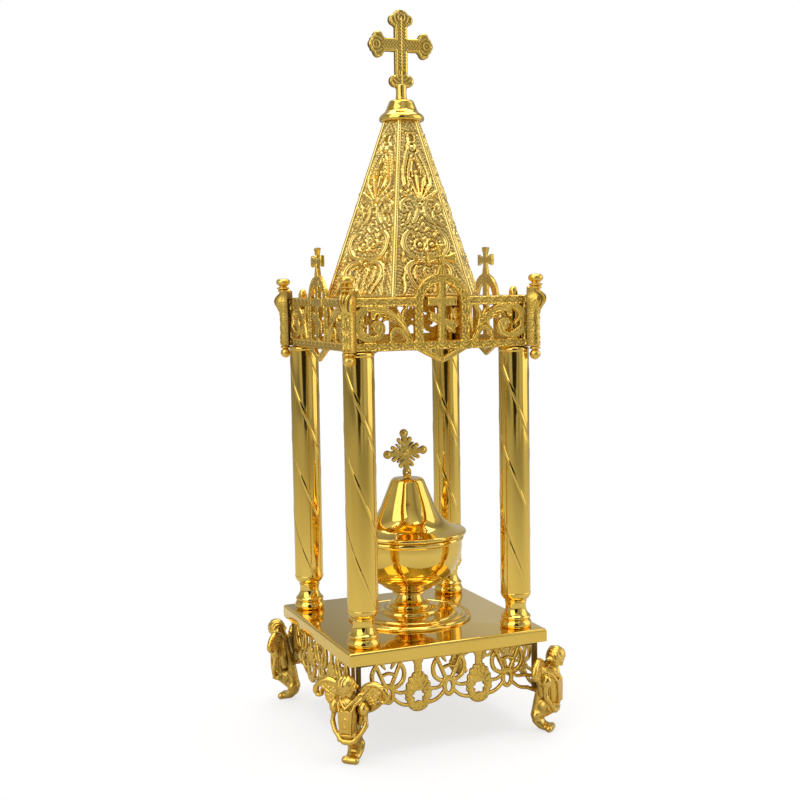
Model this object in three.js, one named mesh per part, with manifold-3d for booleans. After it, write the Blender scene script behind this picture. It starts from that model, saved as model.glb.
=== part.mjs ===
// A ciborium-shaped altar tabernacle in gilded brass, in millimetres, +Z up.
// Four cherub feet carry a square tray with pierced skirts. Four twisted columns stand on the
// tray and carry a pierced gallery, a six-sided embossed spire and a budded cross. A covered
// cup stands in the middle. The front faces -Y, and the floor is z = 0.
import * as THREE from "three";
import { mergeVertices } from "three/addons/utils/BufferGeometryUtils.js";
import Module from "manifold-3d";

// Driving dimensions

const gap = 0.3; // left between pieces that touch on slanted or turned faces

const figureHeight = 65.3; // floor to the underside of the tray, also the height of a cherub foot

const trayWidth = 150;
const trayHeight = 9.2;
const trayWall = 1.6;
const trayEdgeRound = 1.8;

const skirtSetBack = 3.7; // from the tray's edge to the skirt's face
const skirtThickness = 2.4;
const skirtDrop = 39; // from the tray to the lowest pendant
const skirtStrip = 2.6; // height of the plain strip along the top
const skirtEndStrip = 4.4;
const shellWindow = 5.8; // width of the square opening under each shell
const shellWindowHeight = 7.2;
const shellSpacing = 46.4; // between the two scallop shells
const bowSpacing = 45.4; // between the middle bow and each outer one

const columnSetIn = 16.5; // from the tray's edge to a column's axis
const columnDiameter = 21.4;
const columnWall = 2.4; // at the plain places, less where the twist's flats dip
const columnFootHeight = 25.6;
const columnTubeLength = 172;
const spigotLength = 5; // of the turned foot and capital, inside the tube
const twistPitch = 171; // height of one full turn of the three ribs
const ribHeight = 0.9;
const capitalDisc = 3.4; // thickness of the disc on top of the tube
const capitalNeckDiameter = 12;

const galleryReach = 9.3; // from a column's axis to the gallery's outer face
const galleryThickness = 3;
const railHeight = 6.3;
const galleryOpening = 23.4; // between the two rails
const archWidth = 41.4;
const archBand = 6.5;
const archSpringAboveRail = -5.2; // springing line, from the top of the upper rail
const galleryEndStrip = 2.4;
const pendantDrop = 9.2;
const pendantEyeWidth = 18.6;
const slantedBarWidth = 19.6; // of the slanted lower bar of the three-barred cross
const crossletHeight = 19.4; // small flared cross on the arch
const crossletWidth = 22;
const crossletFlare = 8.4; // width of an arm at its end
const crossletWaist = 3.4; // width of an arm at the middle
const galleryCrossBar = 22.4; // length of the upper bar of the three-barred cross
const galleryCrossWidth = 6.3;

const postWidth = 7.6;
const postDepth = 7.6; // of the plain shaft, outwards
const postBulge = 4.4; // of the console over the shaft
const postShaft = 41; // height of the console, from the lower rail's underside
const knobHeight = 9.6;
const knobDiameter = 10.6;
const ballHeight = 9.4;
const ballDiameter = 7.8;

const deckThickness = 2;
const nutDiameter = 7;
const nutHeight = 6.4;

const spireHeight = 125;
const spireBase = 119; // across the corners, at the bottom
const spireTop = 27.4; // across the corners, at the top
const spireWall = 1;
const spireRelief = 0.9; // height of the embossing
const spireRibWidth = 3.2;
const spireFoot = 2.6; // height of the plain band along the bottom

const capDiameter = 32.4;
const capHeight = 15.4;

const crossHeight = 62.4; // foot of the stem to the top bud
const crossWidth = 52.6;
const crossBand = 9.4; // width of an arm
const crossThickness = 4.4;
const crossStem = 8.6; // diameter of the turned socket under the cross
const crossStemHeight = 8.4;

const cupFootDiameter = 91.4;
const cupFootHeight = 18.4;
const cupCollarDiameter = 25;
const cupCollar = 1.9; // thickness of the collar disc
const cupWall = 1.2;
const cupDiameter = 80;
const cupHeight = 41.6;
const lidDiameter = 85.4;
const lidHeight = 41.8;
const lidTopDiameter = 22.4;
const lidLip = 2.4; // depth of the rolled lip
const lidSpigot = 2.6; // ring under the lid that drops into the cup

const lidCrossWidth = 34.4;
const lidCrossHeight = 35.6;
const lidCrossThickness = 3;
const lidCrossArm = 3.4; // width of an arm
const lidCrossLean = 4; // degrees, towards -X

// Derived places

const trayTop = figureHeight + trayHeight;
const skirtHalf = trayWidth / 2 - skirtSetBack;
const columnOffset = trayWidth / 2 - columnSetIn;
const columnRadius = columnDiameter / 2;
const boreSides = 8;
const boreRadius = columnRadius - columnWall;
const spigotRadius = boreRadius * Math.cos(Math.PI / boreSides) - gap;
const tubeBottom = trayTop + columnFootHeight;
const tubeTop = tubeBottom + columnTubeLength;
const railBottom = tubeTop + capitalDisc + gap;
const upperRail = railBottom + railHeight + galleryOpening;
const galleryTop = upperRail + railHeight;
const deckTop = galleryTop;
const deckBottom = deckTop - deckThickness;
const galleryHalf = columnOffset + galleryReach;
const galleryCorner = (2 * galleryHalf - galleryThickness - gap) / Math.SQRT2;
const postSeat = galleryCorner + gap;
const columnReach = columnOffset * Math.SQRT2 + columnRadius + ribHeight;
const spireSeat = deckTop;
const capSeat = spireSeat + spireHeight;
const crossSeat = capSeat + capHeight;
const cupSeat = trayTop + cupFootHeight + cupCollar;
const cupRim = cupSeat + cupHeight;
const lidSeat = cupRim + gap;
const lidTop = lidSeat + lidHeight;

const wasm = await Module();
wasm.setup();

// Solids: joining, cutting and the few shapes that every piece is made from

function solid(geometry) {
  const bare = geometry.clone();
  bare.deleteAttribute("normal");
  bare.deleteAttribute("uv");
  const merged = mergeVertices(bare, 1e-4);
  const kept = [];
  const index = merged.index.array;
  for (let i = 0; i < index.length; i += 3) {
    const [a, b, c] = [index[i], index[i + 1], index[i + 2]];
    if (a !== b && b !== c && c !== a) kept.push(a, b, c);
  }
  return new wasm.Manifold(
    new wasm.Mesh({
      numProp: 3,
      vertProperties: merged.attributes.position.array,
      triVerts: new Uint32Array(kept),
    }),
  );
}

function join(...pieces) {
  return pieces.flat().reduce((whole, piece) => whole.add(piece));
}

// A flat outline in x and z, as thick as depth, with its back at y = back and its face towards -Y.
function plate(outline, depth, back = 0) {
  const shape = outline instanceof THREE.Shape ? outline : new THREE.Shape(outline);
  const settings = { depth, bevelEnabled: false, curveSegments: 4 };
  const geometry = new THREE.ExtrudeGeometry(shape, settings);
  geometry.rotateX(Math.PI / 2);
  geometry.translate(0, back, 0);
  return solid(geometry);
}

function point(x, y) {
  return new THREE.Vector2(x, y);
}

function rectangle(x0, z0, x1, z1) {
  return [point(x0, z0), point(x1, z0), point(x1, z1), point(x0, z1)];
}

function ellipse(x, z, rx, rz, sides = 10) {
  const curve = new THREE.EllipseCurve(x, z, rx, rz);
  return curve.getPoints(sides).slice(0, sides);
}

// A flat band along a line of points, whose width runs through the given widths.
function band(line, widths) {
  const left = [];
  const right = [];
  line.forEach((p, i) => {
    const before = line[Math.max(i - 1, 0)];
    const after = line[Math.min(i + 1, line.length - 1)];
    const side = point(before.y - after.y, after.x - before.x).normalize();
    const place = (i / (line.length - 1)) * (widths.length - 1);
    const low = Math.min(Math.floor(place), widths.length - 2);
    const width = THREE.MathUtils.lerp(widths[low], widths[low + 1], place - low);
    left.push(p.clone().addScaledVector(side, width / 2));
    right.push(p.clone().addScaledVector(side, -width / 2));
  });
  return [...right, ...left.reverse()];
}

function mirrored(outline) {
  return outline.map((p) => point(-p.x, p.y)).reverse();
}

// A turned piece from [radius, height] pairs that start and end on the axis or close on themselves.
function turned(pairs, sides) {
  const profile = pairs.map(([r, z]) => point(r, z));
  const geometry = new THREE.LatheGeometry(profile, sides);
  geometry.rotateX(Math.PI / 2);
  return solid(geometry);
}

// A round limb through [x, y, z, radius] stations, closed by flat ends; flat widens it along x.
function limb(stations, sides = 7, flat = 1) {
  const places = stations.map(([x, y, z]) => new THREE.Vector3(x, y, z));
  const positions = [];
  const index = [];
  const across = new THREE.Vector3(1, 0, 0);
  places.forEach((place, i) => {
    const before = places[Math.max(i - 1, 0)];
    const after = places[Math.min(i + 1, places.length - 1)];
    const along = after.clone().sub(before).normalize();
    const side = across.clone().addScaledVector(along, -across.dot(along)).normalize();
    const other = along.clone().cross(side);
    for (let k = 0; k < sides; k++) {
      const turn = (k / sides) * 2 * Math.PI;
      const p = place.clone();
      p.addScaledVector(side, Math.cos(turn) * stations[i][3] * flat);
      p.addScaledVector(other, Math.sin(turn) * stations[i][3]);
      positions.push(p.x, p.y, p.z);
    }
  });
  for (let i = 0; i + 1 < stations.length; i++) {
    for (let k = 0; k < sides; k++) {
      const a = i * sides + k;
      const b = i * sides + ((k + 1) % sides);
      index.push(a, b, a + sides, b, b + sides, a + sides);
    }
  }
  const last = (stations.length - 1) * sides;
  for (let k = 1; k + 1 < sides; k++) {
    index.push(0, k + 1, k);
    index.push(last, last + k, last + k + 1);
  }
  const geometry = new THREE.BufferGeometry();
  geometry.setAttribute("position", new THREE.Float32BufferAttribute(positions, 3));
  geometry.setIndex(index);
  return solid(geometry);
}

function ball(x, y, z, rx, ry, rz, detail = 1) {
  const geometry = new THREE.IcosahedronGeometry(1, detail);
  geometry.scale(rx, ry, rz);
  geometry.translate(x, y, z);
  return solid(geometry);
}

// Materials: polished gilding on the turned and sheet pieces, matt gilding on the castings

const polished = new THREE.MeshStandardMaterial({ color: 0xd4b04a, roughness: 0.12, metalness: 1 });
const cast = new THREE.MeshStandardMaterial({ color: 0xc69a35, roughness: 0.42, metalness: 1 });
const embossed = new THREE.MeshStandardMaterial({ color: 0xd2a23a, roughness: 0.3, metalness: 1 });

const tabernacle = new THREE.Group();

function place(name, body, material, parent = tabernacle) {
  const made = body.getMesh();
  const geometry = new THREE.BufferGeometry();
  geometry.setAttribute("position", new THREE.BufferAttribute(made.vertProperties, 3));
  geometry.setIndex(new THREE.BufferAttribute(made.triVerts, 1));
  const mesh = new THREE.Mesh(geometry.toNonIndexed(), material);
  mesh.geometry.computeVertexNormals();
  mesh.name = name;
  parent.add(mesh);
  return mesh;
}

// Four groups, turned by quarters, carry what repeats on the sides and at the corners.
const sides = ["front", "right", "back", "left"].map((name, i) => {
  const group = new THREE.Group();
  group.rotation.z = (i * Math.PI) / 2;
  tabernacle.add(group);
  return { name, group };
});
const corners = ["front_right", "back_right", "back_left", "front_left"].map((name, i) => {
  const group = new THREE.Group();
  group.rotation.z = Math.PI / 4 + (i * Math.PI) / 2;
  tabernacle.add(group);
  return { name, group };
});

// Tray: a pressed square sheet box, open below, with rounded upper edges

function frustum(lowerWidth, upperWidth, z0, z1) {
  const half = Math.SQRT1_2;
  const geometry = new THREE.CylinderGeometry(upperWidth * half, lowerWidth * half, z1 - z0, 4, 1);
  geometry.rotateY(Math.PI / 4);
  geometry.rotateX(Math.PI / 2);
  geometry.translate(0, 0, (z0 + z1) / 2);
  return solid(geometry);
}

function tray() {
  const round = trayEdgeRound;
  const shoulder = trayTop - round;
  const easing = round * (1 - Math.SQRT1_2);
  const body = join(
    frustum(trayWidth, trayWidth, figureHeight, shoulder),
    frustum(trayWidth, trayWidth - 2 * easing, shoulder, trayTop - easing),
    frustum(trayWidth - 2 * easing, trayWidth - 2 * round, trayTop - easing, trayTop),
  );
  const inside = trayWidth - 2 * trayWall;
  return body.subtract(frustum(inside, inside, figureHeight - 1, trayTop - trayWall));
}
place("base_tray", tray(), polished);

// Skirts: four pierced castings with scallop shells between ribbon bows, screwed under the tray

// Half of the skirt's lower edge and its openings, as [distance from the middle, depth under the
// tray]; the other half mirrors them.
function skirtEdge(half) {
  const shell = shellSpacing / 2;
  const bow = bowSpacing;
  return [
    [0, skirtDrop - 6],
    [4.4, skirtDrop - 9.6],
    [shell - 7, skirtDrop - 4.6],
    [shell - 4.4, skirtDrop - 0.8],
    [shell + 4.4, skirtDrop - 0.8],
    [shell + 7, skirtDrop - 4.6],
    [bow - 4.4, skirtDrop - 9.6],
    [bow, skirtDrop - 6],
    [bow + 4.4, skirtDrop - 9.6],
    [half - 6, skirtDrop - 4.4],
    [half, skirtDrop - 3],
  ];
}

function loopOfBow(x, side) {
  return [
    [x + side * 3.4, 16.8],
    [x + side * 5.6, skirtStrip + 1],
    [x + side * 9.8, 8.6],
    [x + side * 8.6, 15.6],
  ];
}

function skirtOpenings(half) {
  const shell = shellSpacing / 2;
  const bow = bowSpacing;
  const low = skirtStrip;
  const end = half - skirtEndStrip;
  const window = shellWindow / 2;
  const sill = skirtDrop - 5.4;
  const lintel = sill - shellWindowHeight;
  return [
    loopOfBow(0, 1),
    loopOfBow(bow, 1),
    loopOfBow(bow, -1),
    [[12.4, low], [shell - 2.4, low], [shell - 3, 10.6], [12, 18]],
    [[shell + 2.4, low], [bow - 12.4, low], [bow - 12, 18], [shell + 3, 10.6]],
    [[shell - window, lintel], [shell + window, lintel], [shell + window, sill], [shell - window, sill]],
    [[5.4, 21.4], [12.4, 21.6], [shell - 8.4, 30.4]],
    [[bow - 5.4, 21.4], [shell + 8.4, 30.4], [bow - 12.4, 21.6]],
    [[bow + 12.4, low], [end, low], [end, 16], [bow + 11.4, 18]],
    [[bow + 5.4, 21.4], [end - 1, 21], [end - 2, 30]],
  ];
}

function skirtPanel() {
  const half = skirtHalf - skirtThickness - gap;
  const top = figureHeight;
  const back = skirtThickness - skirtHalf;
  const under = (pairs) => pairs.map(([x, depth]) => point(x, top - depth));
  const edge = under(skirtEdge(half));
  const outline = [...edge, point(half, top), point(-half, top), ...mirrored(edge).slice(0, -1)];
  const openings = skirtOpenings(half).map(under);
  const cuts = [...openings, ...openings.map(mirrored)].map((hole) => {
    const turnedRight = THREE.ShapeUtils.isClockWise(hole) ? hole.slice().reverse() : hole;
    return plate(turnedRight, skirtThickness + 2, back + 1);
  });
  return plate(outline, skirtThickness, back).subtract(join(cuts));
}
const skirt = skirtPanel();
for (const { name, group } of sides) {
  place("skirt_" + name, skirt, cast, group);
}

// Feet: cast winged cherubs, arms akimbo, on one scrolled leg. Their own form is in shares of
// their height, y counts outwards from the skirt's corner as -Y, and x runs across.

function wingOutline() {
  return [
    [4, 38],
    [8.6, 51],
    [15, 60],
    [22.4, 60],
    [28, 51],
    [26.4, 43.6],
    [22.4, 43],
    [21, 50],
    [15.6, 39.4],
    [11, 36.4],
  ].map(([x, z]) => point(x, z));
}

function figure() {
  const drawnHeight = 65.3; // the height at which the numbers below were drawn
  const unit = figureHeight / drawnHeight;
  const torso = [
    [0, -8.6, 48, 3],
    [0, -7.4, 42, 5.6],
    [0, -8.2, 27, 4.6],
    [0, -9.6, 16, 5.4],
    [0, -8.4, 11, 3.4],
  ];
  const leg = [
    [0, -7, 15, 4.2],
    [0, -1, 11, 3.7],
    [0, 1.8, 6.2, 3.4],
    [0, -2, 2.6, 3.2],
    [0, -8, 2.6, 3.2],
  ];
  const parts = [
    ball(0, -10.4, 54.6, 6.8, 7, 7.6),
    limb(torso, 6, 1.25),
    limb(leg, 6, 1.6),
  ];
  for (const side of [-1, 1]) {
    const arm = [
      [side * 6, -6.6, 42.4, 3.4],
      [side * 15.6, -6.8, 31, 2.8],
      [side * 6.4, -9.6, 17.6, 2.6],
    ];
    const wing = wingOutline();
    parts.push(limb(arm, 4));
    parts.push(plate(side > 0 ? wing : mirrored(wing), 3.4, -1.6));
  }
  const floor = solid(new THREE.BoxGeometry(60, 60, 20)).translate([0, 0, -10]);
  return join(parts).subtract(floor).scale([unit, unit, unit]);
}
const cherub = figure();
for (const { name, group } of corners) {
  const foot = place("foot_" + name, cherub, cast, group);
  foot.position.y = -(skirtHalf * Math.SQRT2 + gap);
}

// Columns: turned foot, twisted tube with three narrow ribs, and a turned capital

const columnSides = 8;

function columnFoot() {
  const r = columnRadius;
  const h = columnFootHeight;
  const s = spigotRadius;
  return turned(
    [
      [0, 0],
      [0.96 * r, 0],
      [1.03 * r, 0.08 * h],
      [0.84 * r, 0.21 * h],
      [0.98 * r, 0.28 * h],
      [0.62 * r, 0.48 * h],
      [0.64 * r, 0.73 * h],
      [0.93 * r, 0.86 * h],
      [r, h],
      [s, h],
      [s, h + spigotLength],
      [0, h + spigotLength],
    ],
    columnSides,
  );
}

function columnTube() {
  const outline = [];
  const starts = 3;
  const ribHalf = 0.25; // half the angle that a rib's foot covers
  for (let start = 0; start < starts; start++) {
    const turn = (start * 2 * Math.PI) / starts;
    const stations = [
      [-ribHalf, 0],
      [0, ribHeight],
      [ribHalf, 0],
      [Math.PI / starts, 0],
    ];
    for (const [angle, rise] of stations) {
      const r = columnRadius + rise;
      outline.push(point(r * Math.cos(turn + angle), r * Math.sin(turn + angle)));
    }
  }
  const settings = { depth: columnTubeLength, steps: 10, bevelEnabled: false };
  const geometry = new THREE.ExtrudeGeometry(new THREE.Shape(outline), settings);
  const places = geometry.attributes.position;
  for (let i = 0; i < places.count; i++) {
    const turn = (2 * Math.PI * places.getZ(i)) / twistPitch;
    const [x, y] = [places.getX(i), places.getY(i)];
    places.setX(i, x * Math.cos(turn) - y * Math.sin(turn));
    places.setY(i, x * Math.sin(turn) + y * Math.cos(turn));
  }
  const end = columnTubeLength + 1;
  const hole = turned([[0, -1], [boreRadius, -1], [boreRadius, end], [0, end]], boreSides);
  // Mirrored, so that the ribs climb to the left and the facets bulge instead of dipping in.
  return solid(geometry).mirror([1, 0, 0]).subtract(hole);
}

function columnCapital() {
  const neck = capitalNeckDiameter / 2;
  const s = spigotRadius;
  const top = deckBottom - tubeTop;
  return turned(
    [
      [0, -spigotLength],
      [s, -spigotLength],
      [s, 0],
      [0.94 * columnRadius, 0],
      [0.97 * columnRadius, capitalDisc],
      [neck, capitalDisc],
      [neck, top],
      [0, top],
    ],
    columnSides,
  );
}

const foot = columnFoot();
const tube = columnTube();
const capital = columnCapital();
const nut = turned(
  [
    [0, 0],
    [nutDiameter / 2, 0],
    [nutDiameter / 2, 0.45 * nutHeight],
    [0.32 * nutDiameter, 0.85 * nutHeight],
    [0, nutHeight],
  ],
  7,
);
for (const { name, group } of sides) {
  const corner = { front: "front_right", right: "back_right", back: "back_left", left: "front_left" }[name];
  const pieces = [
    ["column_foot_", foot, trayTop],
    ["column_tube_", tube, tubeBottom],
    ["column_capital_", capital, tubeTop],
    ["dome_nut_", nut, deckTop],
  ];
  for (const [kind, body, z] of pieces) {
    place(kind + corner, body, polished, group).position.set(columnOffset, -columnOffset, z);
  }
}

// Gallery: four pierced castings, each with two rails, a middle arch round a three-barred cross,
// acanthus scrolls, a flared crosslet above and a pendant below

function galleryPanel() {
  const half = galleryHalf - galleryThickness - gap;
  const back = -galleryHalf + galleryThickness;
  const thick = (outline) => plate(outline, galleryThickness, back);
  const z0 = railBottom;
  const z1 = railBottom + railHeight;
  const z2 = upperRail;
  const z3 = galleryTop;
  const rails = [
    thick(rectangle(-half, z0, half, z1)),
    thick(rectangle(-half, z2, half, z3)),
    thick(rectangle(-half, z0, -half + galleryEndStrip, z3)),
    thick(rectangle(half - galleryEndStrip, z0, half, z3)),
  ];

  const outer = archWidth / 2;
  const inner = outer - archBand;
  const spring = z3 + archSpringAboveRail;
  const arch = new THREE.Shape();
  arch.moveTo(-outer, z0);
  arch.lineTo(outer, z0);
  arch.lineTo(outer, spring);
  arch.absarc(0, spring, outer, 0, Math.PI, false);
  arch.closePath();
  const light = new THREE.Shape();
  light.moveTo(-inner, z1);
  light.lineTo(inner, z1);
  light.lineTo(inner, spring + 1.2);
  light.absarc(0, spring + 1.2, inner, 0, Math.PI, false);
  light.closePath();

  const stem = galleryCrossWidth / 2;
  const bar = galleryCrossBar / 2;
  const archTop = spring + outer;
  const slanted = slantedBarWidth / 2;
  const middleOfOpening = (z1 + z2) / 2;
  const slant = [
    point(-slanted, middleOfOpening + 2.9),
    point(slanted, middleOfOpening - 7.5),
    point(slanted, middleOfOpening + 0.7),
    point(-slanted, middleOfOpening + 8.9),
  ];
  const bars = [
    rectangle(-stem, z1 - 1, stem, archTop - 2),
    rectangle(-bar, z2, bar, z2 + galleryCrossWidth),
  ];

  const crosslet = [];
  const middle = archTop + crossletHeight * 0.52;
  const flare = crossletFlare / 2;
  const waist = crossletWaist / 2;
  const arms = [
    [1, 0, crossletWidth / 2],
    [-1, 0, crossletWidth / 2],
    [0, 1, crossletHeight * 0.48],
    [0, -1, crossletHeight * 0.6],
  ];
  for (const [dx, dz, reach] of arms) {
    crosslet.push([
      point(dx * reach - dz * flare, middle + dz * reach + dx * flare),
      point(-dz * waist, middle + dx * waist),
      point(dz * waist, middle - dx * waist),
      point(dx * reach + dz * flare, middle + dz * reach - dx * flare),
    ]);
  }

  const pendant = [
    point(-outer, z0 + 1),
    point(-outer * 0.55, z0 - pendantDrop * 0.42),
    point(0, z0 - pendantDrop),
    point(outer * 0.55, z0 - pendantDrop * 0.42),
    point(outer, z0 + 1),
  ];
  const lid = pendantEyeWidth / 2;
  const eye = [point(-lid, z0 - 0.1), point(0, z0 - 0.58 * pendantDrop), point(lid, z0 - 0.1)];

  const centre = point((half + outer) / 2 + 4.4, middleOfOpening);
  const radius = galleryOpening / 2 - 1.6;
  const spiral = [];
  const steps = 5;
  for (let i = 0; i <= steps; i++) {
    const turn = THREE.MathUtils.lerp(2.2, -3.9, i / steps);
    const shrink = THREE.MathUtils.lerp(1, 0.42, Math.max(0, (i - 2) / (steps - 2)));
    const reach = radius * shrink;
    spiral.push(point(centre.x + reach * Math.cos(turn), centre.y + reach * Math.sin(turn)));
  }
  const leaf = [point(outer - 1, z1 - 0.5), point(outer + 6.5, z1 + 8.4), ...spiral];
  const crescent = [point(outer, z1 + 1), point(outer + 8, z1 + 10.5), point(outer + 2.6, z2 + 1)];
  const scrolls = [
    band(leaf, [2.6, 4.8, 5.4, 4.4, 4, 3.6, 3.4, 4.6]),
    band(crescent, [2, 3.4, 2.6]),
  ];
  const outlines = [slant, pendant, ...crosslet, ...bars, ...scrolls, ...scrolls.map(mirrored)];
  const opened = thick(arch).subtract(thick(light));
  return join(rails, opened, outlines.map(thick)).subtract(thick(eye));
}
const gallery = galleryPanel();
for (const { name, group } of sides) {
  place("gallery_" + name, gallery, cast, group);
}

// Corner posts: cast consoles with a knob above and a ball below, set across the gallery's corners

function cornerPost() {
  const profile = [
    [0, 0],
    [postDepth, 0],
    [postDepth, 0.64 * postShaft],
    [postDepth + postBulge, 0.8 * postShaft],
    [postDepth + postBulge * 0.6, 0.93 * postShaft],
    [postDepth * 0.8, postShaft],
    [0, postShaft],
  ].map(([outwards, z]) => point(outwards, z));
  const shape = new THREE.Shape(profile);
  const geometry = new THREE.ExtrudeGeometry(shape, { depth: postWidth, bevelEnabled: false });
  geometry.rotateX(Math.PI / 2);
  geometry.rotateZ(-Math.PI / 2);
  geometry.translate(postWidth / 2, 0, 0);
  const k = knobDiameter / 2;
  const n = knobHeight;
  const knob = turned(
    [[0, -1], [0.6 * k, -1], [0.9 * k, 0.2 * n], [0.6 * k, 0.38 * n], [k, 0.66 * n], [0.7 * k, n], [0, n]],
    6,
  ).translate([0, -k - 0.1, postShaft]);
  const b = ballDiameter / 2;
  const m = ballHeight;
  const ballBelow = turned(
    [[0, -m], [0.3 * b, -m], [b, -0.6 * m], [0.55 * b, -0.2 * m], [b, 1], [0, 1]],
    6,
  ).translate([0, postSeat - columnReach - gap - b, 0]);
  return join(solid(geometry), knob, ballBelow);
}
const post = cornerPost();
for (const { name, group } of corners) {
  place("corner_post_" + name, post, cast, group).position.set(0, -postSeat, railBottom);
}

// Deck: a flat square sheet inside the top of the gallery, which the spire stands on

function deck() {
  const width = 2 * (galleryHalf - galleryThickness - gap);
  return frustum(width, width, deckBottom, deckTop);
}
place("roof_deck", deck(), polished);

// Spire: a six-sided pyramid of embossed sheet, open below, with beaded ribs on its corners

const spireFaces = 6;

function hexagon(lower, upper, z0, z1) {
  const geometry = new THREE.CylinderGeometry(upper / 2, lower / 2, z1 - z0, spireFaces, 1);
  geometry.rotateX(Math.PI / 2);
  geometry.rotateZ(Math.PI / spireFaces);
  geometry.translate(0, 0, (z0 + z1) / 2);
  return solid(geometry);
}

function spire() {
  const wall = 2 * spireWall / Math.cos(Math.PI / spireFaces);
  const slope = (spireTop - spireBase) / spireHeight;
  const under = spireBase - slope;
  const over = spireTop + slope;
  const shell = hexagon(spireBase, spireTop, 0, spireHeight);
  const hollow = hexagon(under - wall, over - wall, -1, spireHeight + 1);
  const flatBase = (spireBase / 2) * Math.cos(Math.PI / spireFaces);
  const flatTop = (spireTop / 2) * Math.cos(Math.PI / spireFaces);
  const lean = Math.atan2(flatBase - flatTop, spireHeight);
  const run = Math.hypot(flatBase - flatTop, spireHeight);
  const reliefs = [];
  const raised = (outline) => plate(outline, spireRelief + 0.4, 0.4);
  const share = (pairs) => pairs.map(([x, up]) => point(x, up * run));
  const ogee = share([[0.6, 0.93], [5.8, 0.82], [1, 0.71]]);
  const cartouche = share([[0, 0.26], [11, 0.46], [1, 0.66]]);
  const comma = share([[2.4, 0.06], [13, 0.16]]);
  const sprays = [
    band(ogee, [1.6, 2, 1.6]),
    band(cartouche, [1.8, 2.6, 1.8]),
    band(comma, [3.6, 2.4]),
  ];
  const flatHalf = spireBase / 4;
  const bosses = [
    rectangle(-flatHalf, -1, flatHalf, spireFoot),
    ellipse(0, 0.36 * run, 3.4, 4, 4),
  ];
  const faceWork = join([...sprays, ...sprays.map(mirrored), ...bosses].map(raised));
  const lying = faceWork.rotate([(-lean * 180) / Math.PI, 0, 0]).translate([0, -flatBase, 0]);
  const edges = [];
  for (let i = 0; i < spireFaces; i++) {
    reliefs.push(lying.rotate([0, 0, (i * 360) / spireFaces]));
    const turn = ((i + 0.5) / spireFaces) * 2 * Math.PI;
    const [dx, dy] = [Math.sin(turn), -Math.cos(turn)];
    const low = spireBase / 2 - 0.6;
    const high = spireTop / 2 - 0.6;
    const r = spireRibWidth / 2;
    edges.push(limb([[dx * low, dy * low, 0, r], [dx * high, dy * high, spireHeight, r]], 4));
  }
  const block = solid(new THREE.BoxGeometry(2 * spireBase, 2 * spireBase, spireHeight));
  const slab = block.translate([0, 0, spireHeight / 2]);
  return join(shell, reliefs, edges).subtract(hollow).intersect(slab);
}
place("spire", spire(), embossed).position.z = spireSeat;

// Cap: a small turned bell that covers the open top of the spire

const cap = turned(
  [
    [0, 0],
    [0.47 * capDiameter, 0],
    [0.5 * capDiameter, 0.1 * capHeight],
    [0.485 * capDiameter, 0.26 * capHeight],
    [0.38 * capDiameter, 0.62 * capHeight],
    [0.2 * capDiameter, 0.96 * capHeight],
    [0.12 * capDiameter, capHeight],
    [0, capHeight],
  ],
  12,
);
place("spire_cap", cap, polished).position.z = capSeat;

// Crosses: the budded cross on the cap, and the leafed one on the cup's lid

function buddedCross() {
  const arm = crossBand / 2;
  const middle = crossHeight - crossWidth / 2;
  const armFoot = crossStemHeight - 1;
  const thick = (outline) => plate(outline, crossThickness, crossThickness / 2);
  const half = crossWidth / 2;
  const lobe = crossBand * 0.47;
  const pieces = [
    thick(rectangle(-arm, armFoot, arm, crossHeight - lobe)),
    thick(rectangle(-half + lobe, middle - arm, half - lobe, middle + arm)),
  ];
  const arms = [[0, 1], [1, 0], [-1, 0]];
  for (const [dx, dz] of arms) {
    const end = half - lobe;
    const back = half - 0.75 * crossBand - lobe * 0.6;
    pieces.push(thick(ellipse(dx * end, middle + dz * end, lobe, lobe, 6)));
    for (const side of [-1, 1]) {
      const x = dx * back + dz * side * lobe * 1.2;
      const z = middle + dz * back + dx * side * lobe * 1.2;
      pieces.push(thick(ellipse(x, z, lobe * 0.86, lobe * 0.86, 6)));
    }
  }
  for (const side of [-1, 1]) {
    pieces.push(thick(ellipse(side * lobe * 1.2, middle - half * 0.82, lobe * 0.86, lobe * 0.86, 6)));
  }
  const r = crossStem / 2;
  const socket = turned(
    [
      [0, 0],
      [r * 1.1, 0],
      [r * 0.8, 0.4 * crossStemHeight],
      [r, 0.75 * crossStemHeight],
      [r * 0.75, crossStemHeight],
      [0, crossStemHeight],
    ],
    8,
  );
  return join(pieces, socket);
}
place("top_cross", buddedCross(), cast).position.z = crossSeat;

function leafedCross() {
  const thick = (outline) => plate(outline, lidCrossThickness, lidCrossThickness / 2);
  const half = lidCrossWidth / 2;
  const middle = lidCrossHeight - half;
  const arm = lidCrossArm / 2;
  const bud = 2.8;
  const pieces = [
    thick(ellipse(0, middle, 6.4, 6.4, 6)),
    turned([[0, 0], [3.4, 0], [3.4, 1.2], [1.8, 3], [0, 3]], 6),
  ];
  pieces.push(thick(rectangle(-arm, 0, arm, lidCrossHeight - bud)));
  pieces.push(thick(rectangle(bud - half, middle - arm, half - bud, middle + arm)));
  for (const [dx, dz] of [[0, 1], [1, 0], [-1, 0], [0, -1]]) {
    const end = half - bud;
    pieces.push(thick(ellipse(dx * end, middle + dz * end, bud, bud, 4)));
    for (const side of [-1, 1]) {
      const back = half * 0.62;
      const x = dx * back + dz * side * 3.4;
      const z = middle + dz * back + dx * side * 3.4;
      pieces.push(thick(ellipse(x, z, 2.4, 2.4, 4)));
    }
  }
  return join(pieces).rotate([0, -lidCrossLean, 0]);
}
place("lid_cross", leafedCross(), cast).position.z = lidTop + gap;

// Cup: a turned stepped foot with its collar, a hollow bowl and a hollow bell-shaped lid

const cupSides = 12;

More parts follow.
